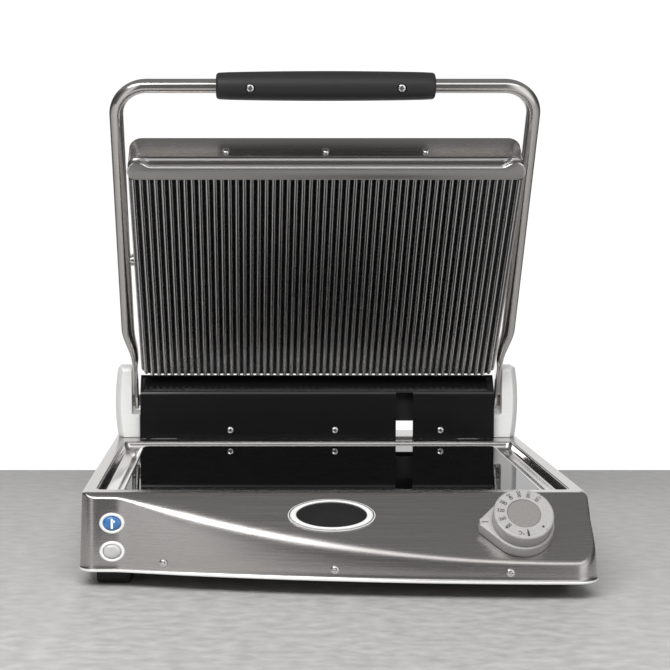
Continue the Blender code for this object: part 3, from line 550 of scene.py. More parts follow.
def skirt_depth(x):
    """How far the skirt stands forward of the rim's front edge, at one x."""
    along = (x - SWEEP_START_X) / (SWEEP_END_X - SWEEP_START_X)
    soft = min(1.0, 0.5 * (along + math.hypot(along, SWEEP_SOFTNESS)))
    return SKIRT_NEAR + (SKIRT_FAR - SKIRT_NEAR) * (1 - (1 - soft) ** SWEEP_POWER)


def lean_out(crease_z, z):
    """How far the skirt, which leans out downwards, stands out at one height below its crease."""
    rise = crease_z - FOOT_OF_SKIRT_Z
    return (LEAN_LEAST + LEAN_PER_MM * rise) * min(1.0, (crease_z - z) / rise)


def skirt_lean(x, z):
    return lean_out(RIM_Z - skirt_depth(x), z)


def skirt_slope(x):
    return skirt_depth(x + 0.5) - skirt_depth(x - 0.5)


def spread(start, end, steps):
    """Evenly spaced values after start, up to but without end."""
    return [start + (end - start) * i / steps for i in range(1, steps)]


def skirt_samples():
    """Round the base from its left front corner: (foot of the wall, outward direction, rim's edge above)."""
    samples = []
    left = -WALL_HALF + LEFT_CORNER_R
    right = WALL_HALF - RIGHT_CORNER_R
    inner = WALL_HALF - RIM_INSET
    centre_y = LEFT_CORNER_R - SKIRT_NEAR
    for i in range(17):
        turn = math.radians(90 * i / 16)
        out = Vector((-math.cos(turn), -math.sin(turn)))
        wall = Vector((left, centre_y)) + out * LEFT_CORNER_R
        rim = Vector((left + out.x * (LEFT_CORNER_R - RIM_INSET), centre_y * (1 + out.y)))
        samples.append((wall, out, rim))
    for x in spread(left, SWEEP_START_X + 20, 40) + spread(SWEEP_START_X + 20, right, 100):
        out = Vector((-skirt_slope(x), -1)).normalized()
        samples.append((Vector((x, -skirt_depth(x))), out, Vector((x, 0))))

    corner = Vector((right, RIGHT_CORNER_R - SKIRT_FAR))
    bend = RIGHT_CORNER_R * math.pi / 2
    whole = bend - corner.y
    for i in range(21):
        out = Vector((math.sin(math.radians(90 * i / 20)), -math.cos(math.radians(90 * i / 20))))
        along = bend * i / 20 / whole
        rim = Vector((right + (inner - right) * along, 0))
        samples.append((corner + out * RIGHT_CORNER_R, out, rim))
    for y in spread(corner.y, 0, 14):
        along = (bend + y - corner.y) / whole
        rim = Vector((right + (inner - right) * along, 0))
        samples.append((Vector((WALL_HALF, y)), Vector((1, 0)), rim))

    rear = REAR_WALL_Y - REAR_CORNER_R
    side = WALL_HALF - REAR_CORNER_R
    straight = [(Vector((WALL_HALF, y)), Vector((1, 0))) for y in spread(-10, rear, 40) if y >= 0]
    for start, cx in ((0, side), (90, -side)):
        for i in range(11):
            turn = math.radians(start + 9 * i)
            out = Vector((math.cos(turn), math.sin(turn)))
            straight.append((Vector((cx, rear)) + out * REAR_CORNER_R, out))
        if start == 0:
            straight += [(Vector((x, REAR_WALL_Y)), Vector((0, 1))) for x in spread(side, -side, 20)]
    straight += [(Vector((-WALL_HALF, y)), Vector((-1, 0))) for y in spread(rear, centre_y, 30)]
    for wall, out in straight:
        samples.append((wall, out, wall - out * RIM_INSET))
    return samples


def opening_point(rim):
    """The nearest point of the glass plate's opening."""
    core = Vector(
        (
            min(max(rim.x, -OPENING_HALF + OPENING_R), OPENING_HALF - OPENING_R),
            min(max(rim.y, OPENING_YS[0] + OPENING_R), OPENING_YS[1] - OPENING_R),
        )
    )
    return core + (rim - core).normalized() * OPENING_R


def skin_section(wall, out, rim):
    """One closed section of the pressed sheet, from the opening out over the rim and down to the lip."""
    edge = opening_point(rim)
    crease_z = RIM_Z + min(0.0, wall.y)
    corners = [
        Vector((edge.x, edge.y, RIM_Z - 3)),
        Vector((edge.x, edge.y, RIM_Z)),
        Vector((rim.x, rim.y, RIM_Z)),
        Vector((wall.x, wall.y, crease_z)),
    ]
    lean = lean_out(crease_z, FOOT_OF_SKIRT_Z)
    for share, z in LIP_PROFILE:
        at = wall + out * (lean + (LIP_OUT - lean) * share)
        corners.append(Vector((at.x, at.y, z)))
    section = filleted(corners[:5], (OPENING_FILLET, RIM_FILLET, CREASE_FILLET)) + corners[5:]
    inside = wall - out * SHEET * 1.5
    under = Vector((rim.x, rim.y)) - out * SHEET
    section.append(Vector((inside.x, inside.y, crease_z - 3 * SHEET)))
    section.append(Vector((under.x, under.y, RIM_Z - 2 * SHEET)))
    return section


def base_skin(space, finishes):
    rings = [skin_section(*sample) for sample in skirt_samples()]
    holes = [turned([(SPINDLE_HOLE_R, -12), (SPINDLE_HOLE_R, 12)], 24)]
    holes[0].transform(space["base"].inverted() @ space["dial"])
    for name in ("upper", "lower"):
        at = node_centre(space, f"button_{name}_switch")
        sleeve = prism(oval(SWITCH_HOLE_R, SWITCH_HOLE_R * BUTTON_SHAPE, 40), -10, 10)
        holes.append(moved(sleeve, facing((BUTTON_X, -SKIRT_NEAR, at.z))))
    skin = carved(loft(rings, closed=True), joined(*holes))
    # The rolled lip's band takes the chrome finish, a painted highlight along the lip
    for face in skin.faces:
        if LIP_HIGHLIGHT_LOW_Z < face.calc_center_median().z < LIP_HIGHLIGHT_TOP_Z:
            face.material_index = 1
    steel = finishes["brushed_steel"]
    obj = piece("base_skin", skin, space["base"], "base", steel, ["base_housing"], 40)
    obj.data.materials.append(finishes["chrome"])


def drip_frame(space, finishes):
    """The pressed ring round the glass: a rolled edge, a soft-bottomed channel and a rise to the glass."""
    front, rear = OPENING_YS
    low = base_point(space, *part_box("glass_frame")[0]).z
    ledge = low + 2.0
    # Half width, front edge, rear edge, corner radius and height of each level
    section = (
        (204.45, front + 0.3, rear - 0.3, 5.8, 81.0),
        (204.4, front + 0.35, rear - 0.35, 5.7, 81.7),
        (204.1, front + 0.6, rear - 0.6, 5.5, 81.95),
        (203.7, front + 1.0, rear - 1.0, 5.3, 81.9),
        (203.1, front + 1.6, rear - 1.6, 5.1, 81.3),
        (202.7, front + 2.0, rear - 2.0, 5.0, 80.2),
        (202.0, front + 2.7, rear - 2.7, 4.7, 77.2),
        (201.3, front + 3.4, rear - 3.4, 4.5, 75.6),
        (200.2, front + 4.2, rear - 4.4, 4.3, 74.8),
        (198.6, front + 5.0, rear - 6.0, 4.2, 74.6),
        (192.5, front + 6.0, rear - 11.0, 4.2, 74.6),
        (190.4, front + 6.6, rear - 12.8, 4.2, 74.9),
        (188.6, front + 7.2, rear - 14.4, 4.2, 75.9),
        (184.6, front + 8.7, rear - 17.6, 4.2, 78.6),
        (183.4, front + 9.2, rear - 18.6, 4.2, 79.3),
        (182.4, front + 9.6, rear - 19.2, 4.2, 79.6),
        (GLASS_HALF + 0.9, GLASS_YS[0] - 0.9, GLASS_YS[1] + 0.9, GLASS_R + 0.9, 79.6),
        (GLASS_HALF + 0.5, GLASS_YS[0] - 0.5, GLASS_YS[1] + 0.5, GLASS_R + 0.5, 79.3),
        (GLASS_HALF + 0.5, GLASS_YS[0] - 0.5, GLASS_YS[1] + 0.5, GLASS_R + 0.5, ledge),
        (WINDOW_HALF, *WINDOW_YS, 3.0, ledge),
        (WINDOW_HALF, *WINDOW_YS, 3.0, low),
        (204.4, front + 0.3, rear - 0.3, 5.8, low),
    )
    rings = [at_height(rounded_rectangle(-half, half, y0, y1, r), z) for half, y0, y1, r, z in section]
    frame = loft(rings, closed=True)
    steel = finishes["channel_steel"]
    piece("drip_channel", frame, space["base"], "base", steel, ["glass_frame"], 40)


def glass_seal(space, finishes):
    """The silicone ring: a flat strip under the glass plate that turns up round its edge."""
    low = node_centre(space, "glass_seal").z - SEAL_THICK / 2

    def ring(grow, z):
        outline = rounded_rectangle(
            -GLASS_HALF - grow,
            GLASS_HALF + grow,
            GLASS_YS[0] - grow,
            GLASS_YS[1] + grow,
            max(1.0, GLASS_R + grow),
        )
        return at_height(outline, z)

    top = GLASS_TOP_Z
    section = (
        (0.4, low),
        (0.4, top - 0.4),
        (0.25, top - 0.1),
        (0.08, top - 0.3),
        (0.06, low + SEAL_THICK),
        (-9, low + SEAL_THICK),
        (-9, low),
    )
    strip = loft([ring(grow, z) for grow, z in section], closed=True)
    piece("seal_strip", strip, space["base"], "base", finishes["silicone"], ["glass_seal"])


def feet(space, finishes):
    """Square rubber feet, each with a shallow panel sunk in its front and rear."""
    for name in ("foot_front_left", "foot_front_right", "foot_rear_left", "foot_rear_right"):
        low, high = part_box(name)
        low = base_point(space, *low)
        high = base_point(space, *high)
        rings = []
        for inset, z in ((2.0, 0.0), (0.7, 0.5), (0.0, 2.0), (0.0, high.z)):
            outline = rounded_rectangle(
                low.x + inset, high.x - inset, low.y + inset, high.y - inset, FOOT_CORNER_R
            )
            rings.append(at_height(outline, z))
        panels = []
        for y in (low.y, high.y):
            panels.append(box(low.x + 4, high.x - 4, y - FOOT_PANEL_DEEP, y + FOOT_PANEL_DEEP, 3.0, 14.0))
        pad = carved(loft(rings), *panels)
        piece(name + "_pad", pad, space["base"], "base", finishes["foot_rubber"], [name])


def screw_shape(head_r=SCREW_HEAD_R):
    """A pan head with a cross recess, its Z out of the sheet."""
    profile = [
        (head_r * 0.4, -2.0),
        (head_r * 0.4, 0.3),
        (head_r, 0.3),
        (head_r, 0.9),
        (head_r * 0.96, 1.4),
        (head_r * 0.84, 1.9),
        (head_r * 0.62, 2.3),
        (head_r * 0.35, 2.5),
    ]
    arm = head_r * 0.56
    width = head_r * 0.13
    across_head = box(-arm, arm, -width, width, 1.2, 4)
    along_head = box(-width, width, -arm, arm, 1.2, 4)
    return carved(turned(profile, 32), across_head, along_head)


def screws(space, finishes):
    """Every visible screw in an upright sheet."""
    steel = finishes["bright_steel"]
    for side in ("left", "middle", "right"):
        x = node_centre(space, f"front_screw_{side}").x
        skirt_y = -skirt_depth(x) - skirt_lean(x, FRONT_SCREW_Z)
        rows = (
            ("front", "base", skirt_y, FRONT_SCREW_Z, -math.atan(skirt_slope(x))),
            ("panel", "base", PANEL_Y, PANEL_SCREW_Z, 0.0),
            ("cover", "lid", BEZEL_FRONT, COVER_SCREW_Z, 0.0),
        )
        for row, body, y, z, swing in rows:
            node = f"{row}_screw_{side}"
            place = facing((node_centre(space, node).x, y, z), swing=swing)
            shape = moved(screw_shape(), place)
            piece(f"{row}_pan_screw_{side}", shape, space[body], body, steel, [node])


# The controls


def knob_outline(grow):
    """The dial's base: round, with tangents to a narrow flat-cut point on its left."""
    half_flat = 4.0 + grow
    point = KNOB_BASE_POINT + grow
    radius = KNOB_BASE_R + grow
    lean = math.degrees(math.acos(radius / math.hypot(point, half_flat)) + math.atan2(half_flat, point))
    round_side = arc(0, 0, radius, -180 + lean, 180 - lean, 72)
    soft = 1.2
    upper = [(-point + soft, half_flat), (-point + 0.3, half_flat - 0.3), (-point, half_flat - soft)]
    return round_side + upper + [(x, -y) for x, y in upper[::-1]]


def lettering(text, height, at, turn):
    """Thin raised characters in the dial's own plane, as a mesh. Their height is that of a capital."""
    curve = bpy.data.curves.new("lettering", "FONT")
    curve.body = text
    curve.size = height / CAPITAL_SHARE
    curve.align_x = "LEFT"
    curve.align_y = "CENTER"
    curve.extrude = MARK_PROUD
    curve.offset = LETTER_BOLDNESS
    curve.resolution_u = 4
    obj = bpy.data.objects.new("lettering", curve)
    bpy.context.collection.objects.link(obj)
    evaluated = obj.evaluated_get(bpy.context.evaluated_depsgraph_get())
    bm = bmesh.new()
    bm.from_mesh(evaluated.to_mesh())
    evaluated.to_mesh_clear()
    bpy.data.objects.remove(obj)
    bpy.data.curves.remove(curve)
    bm.transform(Matrix.Translation(at) @ Matrix.Rotation(turn, 4, "Z"))
    return bm


def on_dial(radius, clockwise, z):
    angle = math.radians(clockwise)
    return Vector((radius * math.sin(angle), radius * math.cos(angle), z))


def dial_tick(clockwise):
    tick = box(-0.25, 0.25, 22.9, 23.7, KNOB_TOP - MARK_SUNK, KNOB_TOP + MARK_PROUD)
    return moved(tick, Matrix.Rotation(math.radians(-clockwise), 4, "Z"))


def dial(space, finishes):
    """The dial on its pointed base, the disc sunk in its middle, and the printed scale."""
    silver = finishes["knob_silver"]
    levels = (
        (-0.6, 0.3),
        (0, 0.9),
        (0, KNOB_BASE_H - 1.0),
        (-0.3, KNOB_BASE_H - 0.3),
        (-1, KNOB_BASE_H),
    )
    rings = [at_height(knob_outline(grow), z) for grow, z in levels]
    shape = carved(loft(rings), turned([(SPINDLE_HOLE_R, -5), (SPINDLE_HOLE_R, 20)], 24))
    piece("dial_base", shape, space["dial"], "base", silver, ["knob_base"])
    mark_top = KNOB_BASE_H + MARK_PROUD
    tick = box(-KNOB_BASE_POINT + 1.2, -KNOB_BASE_R - 1.0, -0.45, 0.45, KNOB_BASE_H - 0.1, mark_top)
    piece("dial_pointer", tick, space["dial"], "base", finishes["ink"])

    top = KNOB_TOP
    profile = [
        (4, 12.35),
        (KNOB_R - 0.9, 12.35),
        (KNOB_R - 0.25, 12.7),
        (KNOB_R, 13.4),
        (KNOB_R, top - 1.6),
        (KNOB_R - 0.2, top - 1.0),
        (KNOB_R - 0.75, top - 0.4),
        (KNOB_R - 1.5, top),
        (KNOB_R - 1.8, top),
        (KNOB_RECESS_R + 0.5, top),
        (KNOB_RECESS_R + 0.3, top),
        (KNOB_RECESS_R, top - 0.3),
        (KNOB_RECESS_R, top - 1.5),
        (4, top - 1.5),
    ]
    body = turned(profile, 128, closed=True)
    piece("dial_body", body, space["dial"], "dial", silver, ["knob"], 50)
    disc_top = top - 0.5
    disc = [
        (KNOB_DISC_R, top - 1.4),
        (KNOB_DISC_R, disc_top - 0.25),
        (KNOB_DISC_R - 0.25, disc_top),
        (KNOB_DISC_R - 0.4, disc_top),
        (1.0, disc_top),
    ]
    disc_finish = finishes["knob_disc_silver"]
    piece("dial_disc", turned(disc, 96), space["dial"], "dial", disc_finish, ["knob_disc"])

    marks = []
    for number, angle in DIAL_NUMBERS.items():
        turn = math.radians(-90 - angle)
        start = on_dial(DIAL_NUMBER_R, angle, top)
        marks.append(lettering(str(number), DIAL_NUMBER_HEIGHT, start, turn))
        marks.append(dial_tick(angle))
    marks.append(dial_tick(DIAL_OFF_ANGLE))
    dot = turned([(1.1, top - MARK_SUNK), (1.1, top + MARK_PROUD)], 24)
    marks.append(shifted(dot, *on_dial(DIAL_DOT_R, DIAL_OFF_ANGLE, 0)))
    turn = math.radians(-DIAL_UNIT_ANGLE)
    start = on_dial(DIAL_UNIT_R, DIAL_UNIT_ANGLE + 3, top)
    marks.append(lettering("°C", DIAL_UNIT_HEIGHT, start, turn))
    wedge_outline = [(-0.35, 16.0), (0.35, 16.0), (0.9, 19.0), (0.9, 22.8), (-0.9, 22.8), (-0.9, 19.0)]
    wedge = prism(wedge_outline, top - MARK_SUNK, top + MARK_PROUD)
    marks.append(moved(wedge, Matrix.Rotation(math.radians(-DIAL_WEDGE_ANGLE), 4, "Z")))
    piece("dial_marks", joined(*marks), space["dial"], "dial", finishes["ink"])


def buttons(space, finishes):
    """Two oval push buttons in bright bezels. The upper one has a blue lens and a white mark."""
    for name, slot in (("upper", "blue_lens"), ("lower", "button_silver")):
        at = node_centre(space, f"button_{name}_switch")
        wall_y = -skirt_depth(BUTTON_X) - skirt_lean(BUTTON_X, at.z)
        place = space["base"] @ facing((BUTTON_X, wall_y, at.z))

        def ring(half, z):
            return at_height(oval(half, half * BUTTON_SHAPE, 64), z)

        bezel = [
            ring(8.8, -14),
            ring(8.8, 0.3),
            ring(10.9, 0.3),
            ring(11.0, 0.8),
            ring(10.9, 1.5),
            ring(10.5, 2.1),
            ring(9.9, 2.5),
            ring(9.2, 2.6),
            ring(8.5, 2.45),
            ring(8.0, 2.1),
            ring(7.9, 1.6),
            ring(7.9, -14),
        ]
        band = loft(bezel, closed=True)
        switch = [f"button_{name}_switch"]
        piece(f"bezel_{name}", band, place, "base", finishes["chrome"], switch)
        cap = [
            ring(7.6, -9),
            ring(7.6, 1.5),
            ring(7.3, 2.1),
            ring(6.4, 2.75),
            ring(4.8, 3.2),
            ring(3.0, 3.4),
            ring(1.2, 3.48),
        ]
        body = f"{name}_button"
        piece(f"cap_{name}", loft(cap), place, body, finishes[slot], [f"button_{name}"], 60)
        if name == "upper":
            bar = rounded_rectangle(-0.9, 0.9, -4.4, 4.2, 0.8, 4)
            flag = rounded_rectangle(0.3, 2.7, 0.9, 2.8, 0.8, 4)
            mark = joined(prism(bar, 2.2, 3.6), prism(flag, 2.4, 3.6))
            piece("upper_button_mark", mark, place, body, finishes["white_mark"])


def badge(space, finishes):
    """The plain oval badge: a thin bead, a dark groove and a thick ring round a shallow dome."""
    low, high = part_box("badge_ring")
    middle = (low + high) / 2
    at = base_point(space, *middle)
    above = at.z - at.y - RIM_Z
    centre = Vector((at.x, at.y + above / 2, at.z - above / 2))
    place = space["base"] @ facing(centre, SLOPE)

    def ring(half_x, half_y, z):
        return at_height(oval(half_x, half_y, 96), z)

    rim = [
        ring(37.0, 16.5, 0.3),
        ring(37.0, 16.5, 1.0),
        ring(36.7, 16.25, 1.35),
        ring(36.1, 15.8, 1.35),
        ring(35.7, 15.5, 0.8),
        ring(35.4, 15.3, 0.75),
        ring(35.1, 15.1, 1.6),
        ring(34.5, 14.7, 2.3),
        ring(33.4, 14.2, 2.6),
        ring(31.2, 13.4, 2.6),
        ring(30.3, 13.0, 2.3),
        ring(29.9, 12.8, 1.6),
        ring(29.9, 12.8, 0.3),
    ]
    chrome = finishes["chrome"]
    groove_rows = (3, 4)
    band = loft(rim, closed=True)
    for i, face in enumerate(band.faces):
        if i // len(rim[0]) in groove_rows:
            face.material_index = 1
    obj = piece("badge_rim", band, place, "base", chrome, ["badge_ring"], 50)
    obj.data.materials.append(finishes["black_plastic"])
    levels = ((29.7, 0.3), (29.7, 1.3), (27.0, 1.6), (20.0, 1.9), (10.0, 2.05), (3.0, 2.1))
    dome = loft([ring(half, half * BADGE_SHAPE, z) for half, z in levels])
    piece("badge_dome", dome, place, "base", finishes["black_plastic"], ["badge_face"], 60)


# The rear panel and the hinge


def rear_panel(space, finishes):
    """The upright sheet, bent back at its top, with the slot for the lid's lead."""
    back, up = PANEL_FLANGE
    corners = [
        Vector((PANEL_Y, UPRIGHTS_Z)),
        Vector((PANEL_Y, PANEL_BEND_Z)),
        Vector((PANEL_Y + back, PANEL_BEND_Z + up)),
    ]
    face = filleted(corners, [5.0], 8)
    away = Vector((up, -back)).normalized() * PANEL_THICK
    lean = [Vector((PANEL_THICK, 0))]
    for i in range(1, len(face) - 1):
        run = (face[i + 1] - face[i - 1]).normalized()
        lean.append(Vector((run.y, -run.x)) * PANEL_THICK)
    lean.append(away)
    outline = face + [point + offset for point, offset in zip(face, lean)][::-1]
    slot = box(*SLOT_XS, PANEL_Y - 5, PANEL_Y + 25, UPRIGHTS_Z - 5, PANEL_BEND_Z + 1)
    sheet = carved(along_x([tuple(point) for point in outline], -PANEL_HALF, PANEL_HALF), slot)
    dark = finishes["dark_panel"]
    piece("panel_sheet", sheet, space["base"], "base", dark, ["rear_panel"], 30)


def tower_ring(sign, z):
    """One level of a tower: barrelled outside, with the upright outer edges cut at an angle."""
    along = (z - (UPRIGHTS_Z + TOWER_TOP_Z) / 2) / ((TOWER_TOP_Z - UPRIGHTS_Z) / 2)
    outer = TOWER_OUTER_X - TOWER_WAIST_IN * along * along
    front, rear = TOWER_YS
    fillet = 2.0
    rise = z - TOWER_FOOT_Z
    if rise <= 0:
        inner = TOWER_FOOT_X
    elif rise < fillet:
        inner = TOWER_INNER_X - fillet + math.sqrt(fillet**2 - (fillet - rise) ** 2)
    else:
        inner = TOWER_INNER_X
    cut_front = 6.0
    cut_rear = 3.0
    outline = [
        (inner, front),
        (outer - cut_front, front),
        (outer, front + cut_front * 1.1),
        (outer, rear - cut_rear),
        (outer - cut_rear, rear),
        (inner, rear),
    ]
    return at_height([(sign * x, y) for x, y in outline], z)


def towers(space, finishes):
    """The two towers, barrelled outside, cut back at the top front and rear, with a bore for the bush."""
    levels = [UPRIGHTS_Z + (TOWER_FOOT_Z - UPRIGHTS_Z) * i / 5 for i in range(6)]
    levels += [TOWER_FOOT_Z + step for step in (0.01, 0.3, 0.8, 1.4, 2.0)]
    levels += [TOWER_FOOT_Z + 2 + (TOWER_TOP_Z - TOWER_FOOT_Z - 2) * i / 10 for i in range(1, 11)]
    front, rear = TOWER_YS
    silver = finishes["satin_silver"]
    forward_up = Vector((0, -math.cos(TOWER_FRONT_LEAN), math.sin(TOWER_FRONT_LEAN)))
    backward_up = Vector((0, math.cos(TOWER_REAR_LEAN), math.sin(TOWER_REAR_LEAN)))
    for side, sign in (("left", -1), ("right", 1)):
        block = loft([tower_ring(sign, z) for z in levels])
        block = sliced(block, Vector((0, front + 2.5, TOWER_TOP_Z)), forward_up)
        block = sliced(block, Vector((0, rear - 8, TOWER_TOP_Z)), backward_up)
        block = bevelled(block, 0.45, 2, math.radians(25))
        bore = across(turned([(BUSH_R, -BUSH_HALF), (BUSH_R, BUSH_HALF)], 48))
        block = carved(block, shifted(bore, sign * BUSH_X, HINGE_Y, HINGE_Z))
        node = f"hinge_tower_{side}"
        piece(f"tower_{side}", block, space["base"], "base", silver, [node], 25)


# The handle


def roundness(reach):
    """0 where the tube is squeezed flat at its end, easing to 1 where it is round."""
    along = min(1.0, max(0.0, (reach - TUBE_START) / FLAT_RUN))
    return along * along * (3 - 2 * along)


def tube_half():
    """Half of the handle's centre line with its section: (x, y, half height, half width, squareness)."""
    half = []
    for i in range(13):
        reach = -EYE_R * math.cos(math.radians(90 * i / 12))
        tall = max(0.6, math.sqrt(max(0.0, EYE_R**2 - reach**2)))
        half.append((BLADE_X, -reach, tall, BLADE_HALF, 5.0))
    for reach, tall in ((12.0, 8.6), (24.0, 8.0), (40.0, 7.6), (48.0, 7.8)):
        half.append((BLADE_X, -reach, tall, BLADE_HALF, 5.0))
    for i in range(17):
        reach = TUBE_START + FLAT_RUN * i / 16
        full = roundness(reach)
        x = BLADE_X + (ARM_X - BLADE_X) * full
        tall = FLAT_TALL + (TUBE_R - FLAT_TALL) * full
        wide = FLAT_WIDE + (TUBE_R - FLAT_WIDE) * full
        half.append((x, -reach, tall, wide, 4.0 - 2.0 * full))
    for reach in (130.0, 180.0, 230.0, 280.0, 320.0):
        half.append((ARM_X, -reach, TUBE_R, TUBE_R, 2.0))
    for x, y in arc(ARM_X - BEND_R, -HANDLE_REACH + BEND_R, BEND_R, 0, -90, 24):
        half.append((x, y, TUBE_R, TUBE_R, 2.0))
    return half + [(80.0, -HANDLE_REACH, TUBE_R, TUBE_R, 2.0)]


def superoval(angle, power):
    """A point of an oval that squares up as power grows."""
    c = math.cos(angle)
    s = math.sin(angle)
    return (
        math.copysign(abs(c) ** (2 / power), c),
        math.copysign(abs(s) ** (2 / power), s),
    )


def handle_tube(space, finishes):
    """The bow with its flattened ends, and the shouldered bolt that each end carries."""
    half = tube_half()
    whole = [(-x, y, tall, wide, power) for x, y, tall, wide, power in half] + half[::-1]
    rings = []
    for i, (x, y, tall, wide, power) in enumerate(whole):
        before = whole[max(i - 1, 0)]
        after = whole[min(i + 1, len(whole) - 1)]
        run = Vector((after[0] - before[0], after[1] - before[1])).normalized()
        ring = []
        for k in range(40):
            up, out = superoval(math.tau * k / 40, power)
            ring.append(Vector((x + run.y * wide * out, y - run.x * wide * out, tall * up)))
        rings.append(ring)
    bores = across(turned([(SHAFT_HOLE_R, -220), (SHAFT_HOLE_R, 220)], 40))
    tube = carved(loft(rings), bores)
    nodes = ["handle_tube", "arm_blade_left", "arm_blade_right"]
    piece("handle_bow", tube, space["arm"], "handle", finishes["tube_steel"], nodes, 50)
    profile = [
        (5, -9),
        (5, -5),
        (4, -5),
        (4, 3.1),
        (5.9, 3.1),
        (6.2, 3.4),
        (6.2, 7.2),
        (5.9, 7.5),
        (4, 7.5),
        (4, 9),
    ]
    steel = finishes["bright_steel"]
    for side, sign in (("left", -1), ("right", 1)):
        bolt = across(turned(profile, 48))
        if sign < 0:
            bolt.transform(Matrix.Rotation(math.pi, 4, "Z"))
        shape = shifted(bolt, sign * PIVOT_BOLT_X, -PIVOT_REACH, 0)
        node = f"pivot_bolt_{side}"
        piece(f"shoulder_bolt_{side}", shape, space["arm"], "handle", steel, [node])


def grip(space, finishes):
    """The barrelled grip, with soft ends and a pocket for each screw."""
    bore_r = TUBE_R + 0.15
    profile = [(bore_r, -GRIP_HALF), (GRIP_END_R - 3.6, -GRIP_HALF)]
    ends = [(GRIP_END_R - 2.0, 0.35), (GRIP_END_R - 0.9, 1.2), (GRIP_END_R - 0.2, 2.7)]
    profile += [(radius, -GRIP_HALF + step) for radius, step in ends]
    steps = 24
    for i in range(1, steps):
        along = -0.965 + 1.93 * i / steps
        profile.append((GRIP_MID_R - (GRIP_MID_R - GRIP_END_R) * along * along, along * GRIP_HALF))
    profile += [(radius, GRIP_HALF - step) for radius, step in ends[::-1]]
    profile += [(GRIP_END_R - 3.6, GRIP_HALF), (bore_r, GRIP_HALF)]
    body = across(turned(profile, 96, closed=True))
    pockets = []
    turn = Matrix.Rotation(GRIP_SCREW_ANGLE - math.radians(90), 4, "X")
    seat = turn @ Matrix.Translation((0, 0, GRIP_POCKET_FLOOR_R + 0.3))
    steel = finishes["bright_steel"]
    for side in ("left", "right"):
        node = f"grip_screw_{side}"
        low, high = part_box(node)
        x = (low.x + high.x) / 2 / MM
        pocket = turned([(GRIP_POCKET_R, GRIP_POCKET_FLOOR_R), (GRIP_POCKET_R, 20)], 32)
        pockets.append(shifted(moved(pocket, turn), x))
        head = screw_shape(GRIP_SCREW_HEAD_R)
        head.transform(Matrix.Translation((x, -HANDLE_REACH, 0)) @ seat)
        piece(f"grip_pan_screw_{side}", head, space["arm"], "handle", steel, [node])
    barrel = shifted(carved(body, joined(*pockets)), y=-HANDLE_REACH)
    charcoal = finishes["charcoal_grip"]
    piece("grip_barrel", barrel, space["arm"], "handle", charcoal, ["grip"], 40)


# The lid


def lid_cover(space, finishes):
    """The closed cover, open below, with a bore in each side for its bolt."""

    def outline(grow):
        half = COVER_HALF + grow
        front = BEZEL_FRONT - grow
        rear = COVER_REAR + grow
        return rounded_rectangle(-half, half, front, rear, COVER_CORNER_R + grow, 10)

    levels = [
        (-3.4, COVER_TOP - SHEET),
        (-1.2, COVER_TOP - 3.4),
        (-1.2, COVER_LOW),
        (-0.2, COVER_LOW),
        (0.0, COVER_LOW + 0.2),
    ]
    levels += arc(-COVER_FILLET, COVER_TOP - COVER_FILLET, COVER_FILLET, 0, 90, 6)
    shell = loft([at_height(outline(grow), z) for grow, z in levels])
    bores = across(turned([(PIVOT_BORE_R, -200), (PIVOT_BORE_R, 200)], 32))
    shell = carved(shell, bores)
    steel = finishes["brushed_steel"]
    piece("cover_shell", shell, space["lid"], "lid", steel, ["lid_cover"], 40)


def bezel_outline(inset, recess, rear_r):
    """The front bar from above at one level: rounded ends and a channel that sinks by recess between them."""
    front = BEZEL_FRONT + inset
    half = COVER_HALF - inset
    radius = BEZEL_LOBE_R - inset
    curve = []
    steps = 8
    for i in range(1, steps + 1):
        t = i / steps
        ease = t * t * (3 - 2 * t)
        x = BEZEL_LOBE_X - (BEZEL_LOBE_X - BEZEL_RECESS_X) * t
        curve.append((x, front + (recess - inset) * ease))
    left = arc(-half + rear_r, BEZEL_REAR - rear_r, rear_r, 90, 180, 6)
    left += arc(-half + radius, front + radius, radius, 180, 270, 10)
    left += [(-x, y) for x, y in curve]
    return left + [(-x, y) for x, y in left[::-1]]


def bezel(space, finishes):
    """The front bar: a lower face that falls towards the plate, a bead round it, and a channel above."""
    # Height, inset, recess of the channel, rear corner radius and lift at the front edge of each level
    levels = [
        (-38.5, 2.0, 6.6, 6.0, 4.8),
        (-38.3, 1.2, 6.0, 6.5, 4.7),
        (-38.1, 0.4, 5.3, 6.8, 4.5),
        (-37.4, 0.0, 5.0, 7.0, 4.1),
        (-36.8, 0.1, 5.1, 7.0, 3.7),
        (-36.2, 0.6, 5.8, 6.8, 3.3),
        (-35.7, 1.4, 6.8, 6.0, 3.0),
        (-35.0, 1.6, 7.2, 5.0, 2.5),
        (-33.0, 1.6, 7.4, 4.0, 1.2),
        (-28.4, 1.6, 7.4, 3.0, 0.0),
        (-27.4, 1.2, 7.0, 2.0, 0.0),
        (-26.7, 0.5, 4.6, 1.5, 0.0),
        (-26.1, 0.2, 1.2, 1.2, 0.0),
        (-25.3, 0.2, 0.8, 1.0, 0.0),
        (-24.7, 0.6, 1.0, 1.0, 0.0),
        (-24.1, 1.4, 1.8, 1.0, 0.0),
    ]
    # The rows of the lower bead and of the channel's upper edge take the brighter, smoother steel: painted
    # highlights along the pressed bar
    painted_highlight_rows = {1, 2, 3, 4, 11, 12}
    rings = []
    for z, inset, recess, rear_r, lift in levels:
        ring = at_height(bezel_outline(inset, recess, rear_r), z)
        for point in ring:
            point.z += lift * (BEZEL_REAR - point.y) / (BEZEL_REAR - BEZEL_FRONT)
        rings.append(ring)
    bar = loft(rings)
    for i, face in enumerate(bar.faces):
        if i // len(rings[0]) in painted_highlight_rows:
            face.material_index = 1
    steel = finishes["bar_steel"]
    obj = piece("front_bar", bar, space["lid"], "lid", steel, ["lid_bezel"], 32)
    obj.data.materials.append(finishes["bright_steel"])


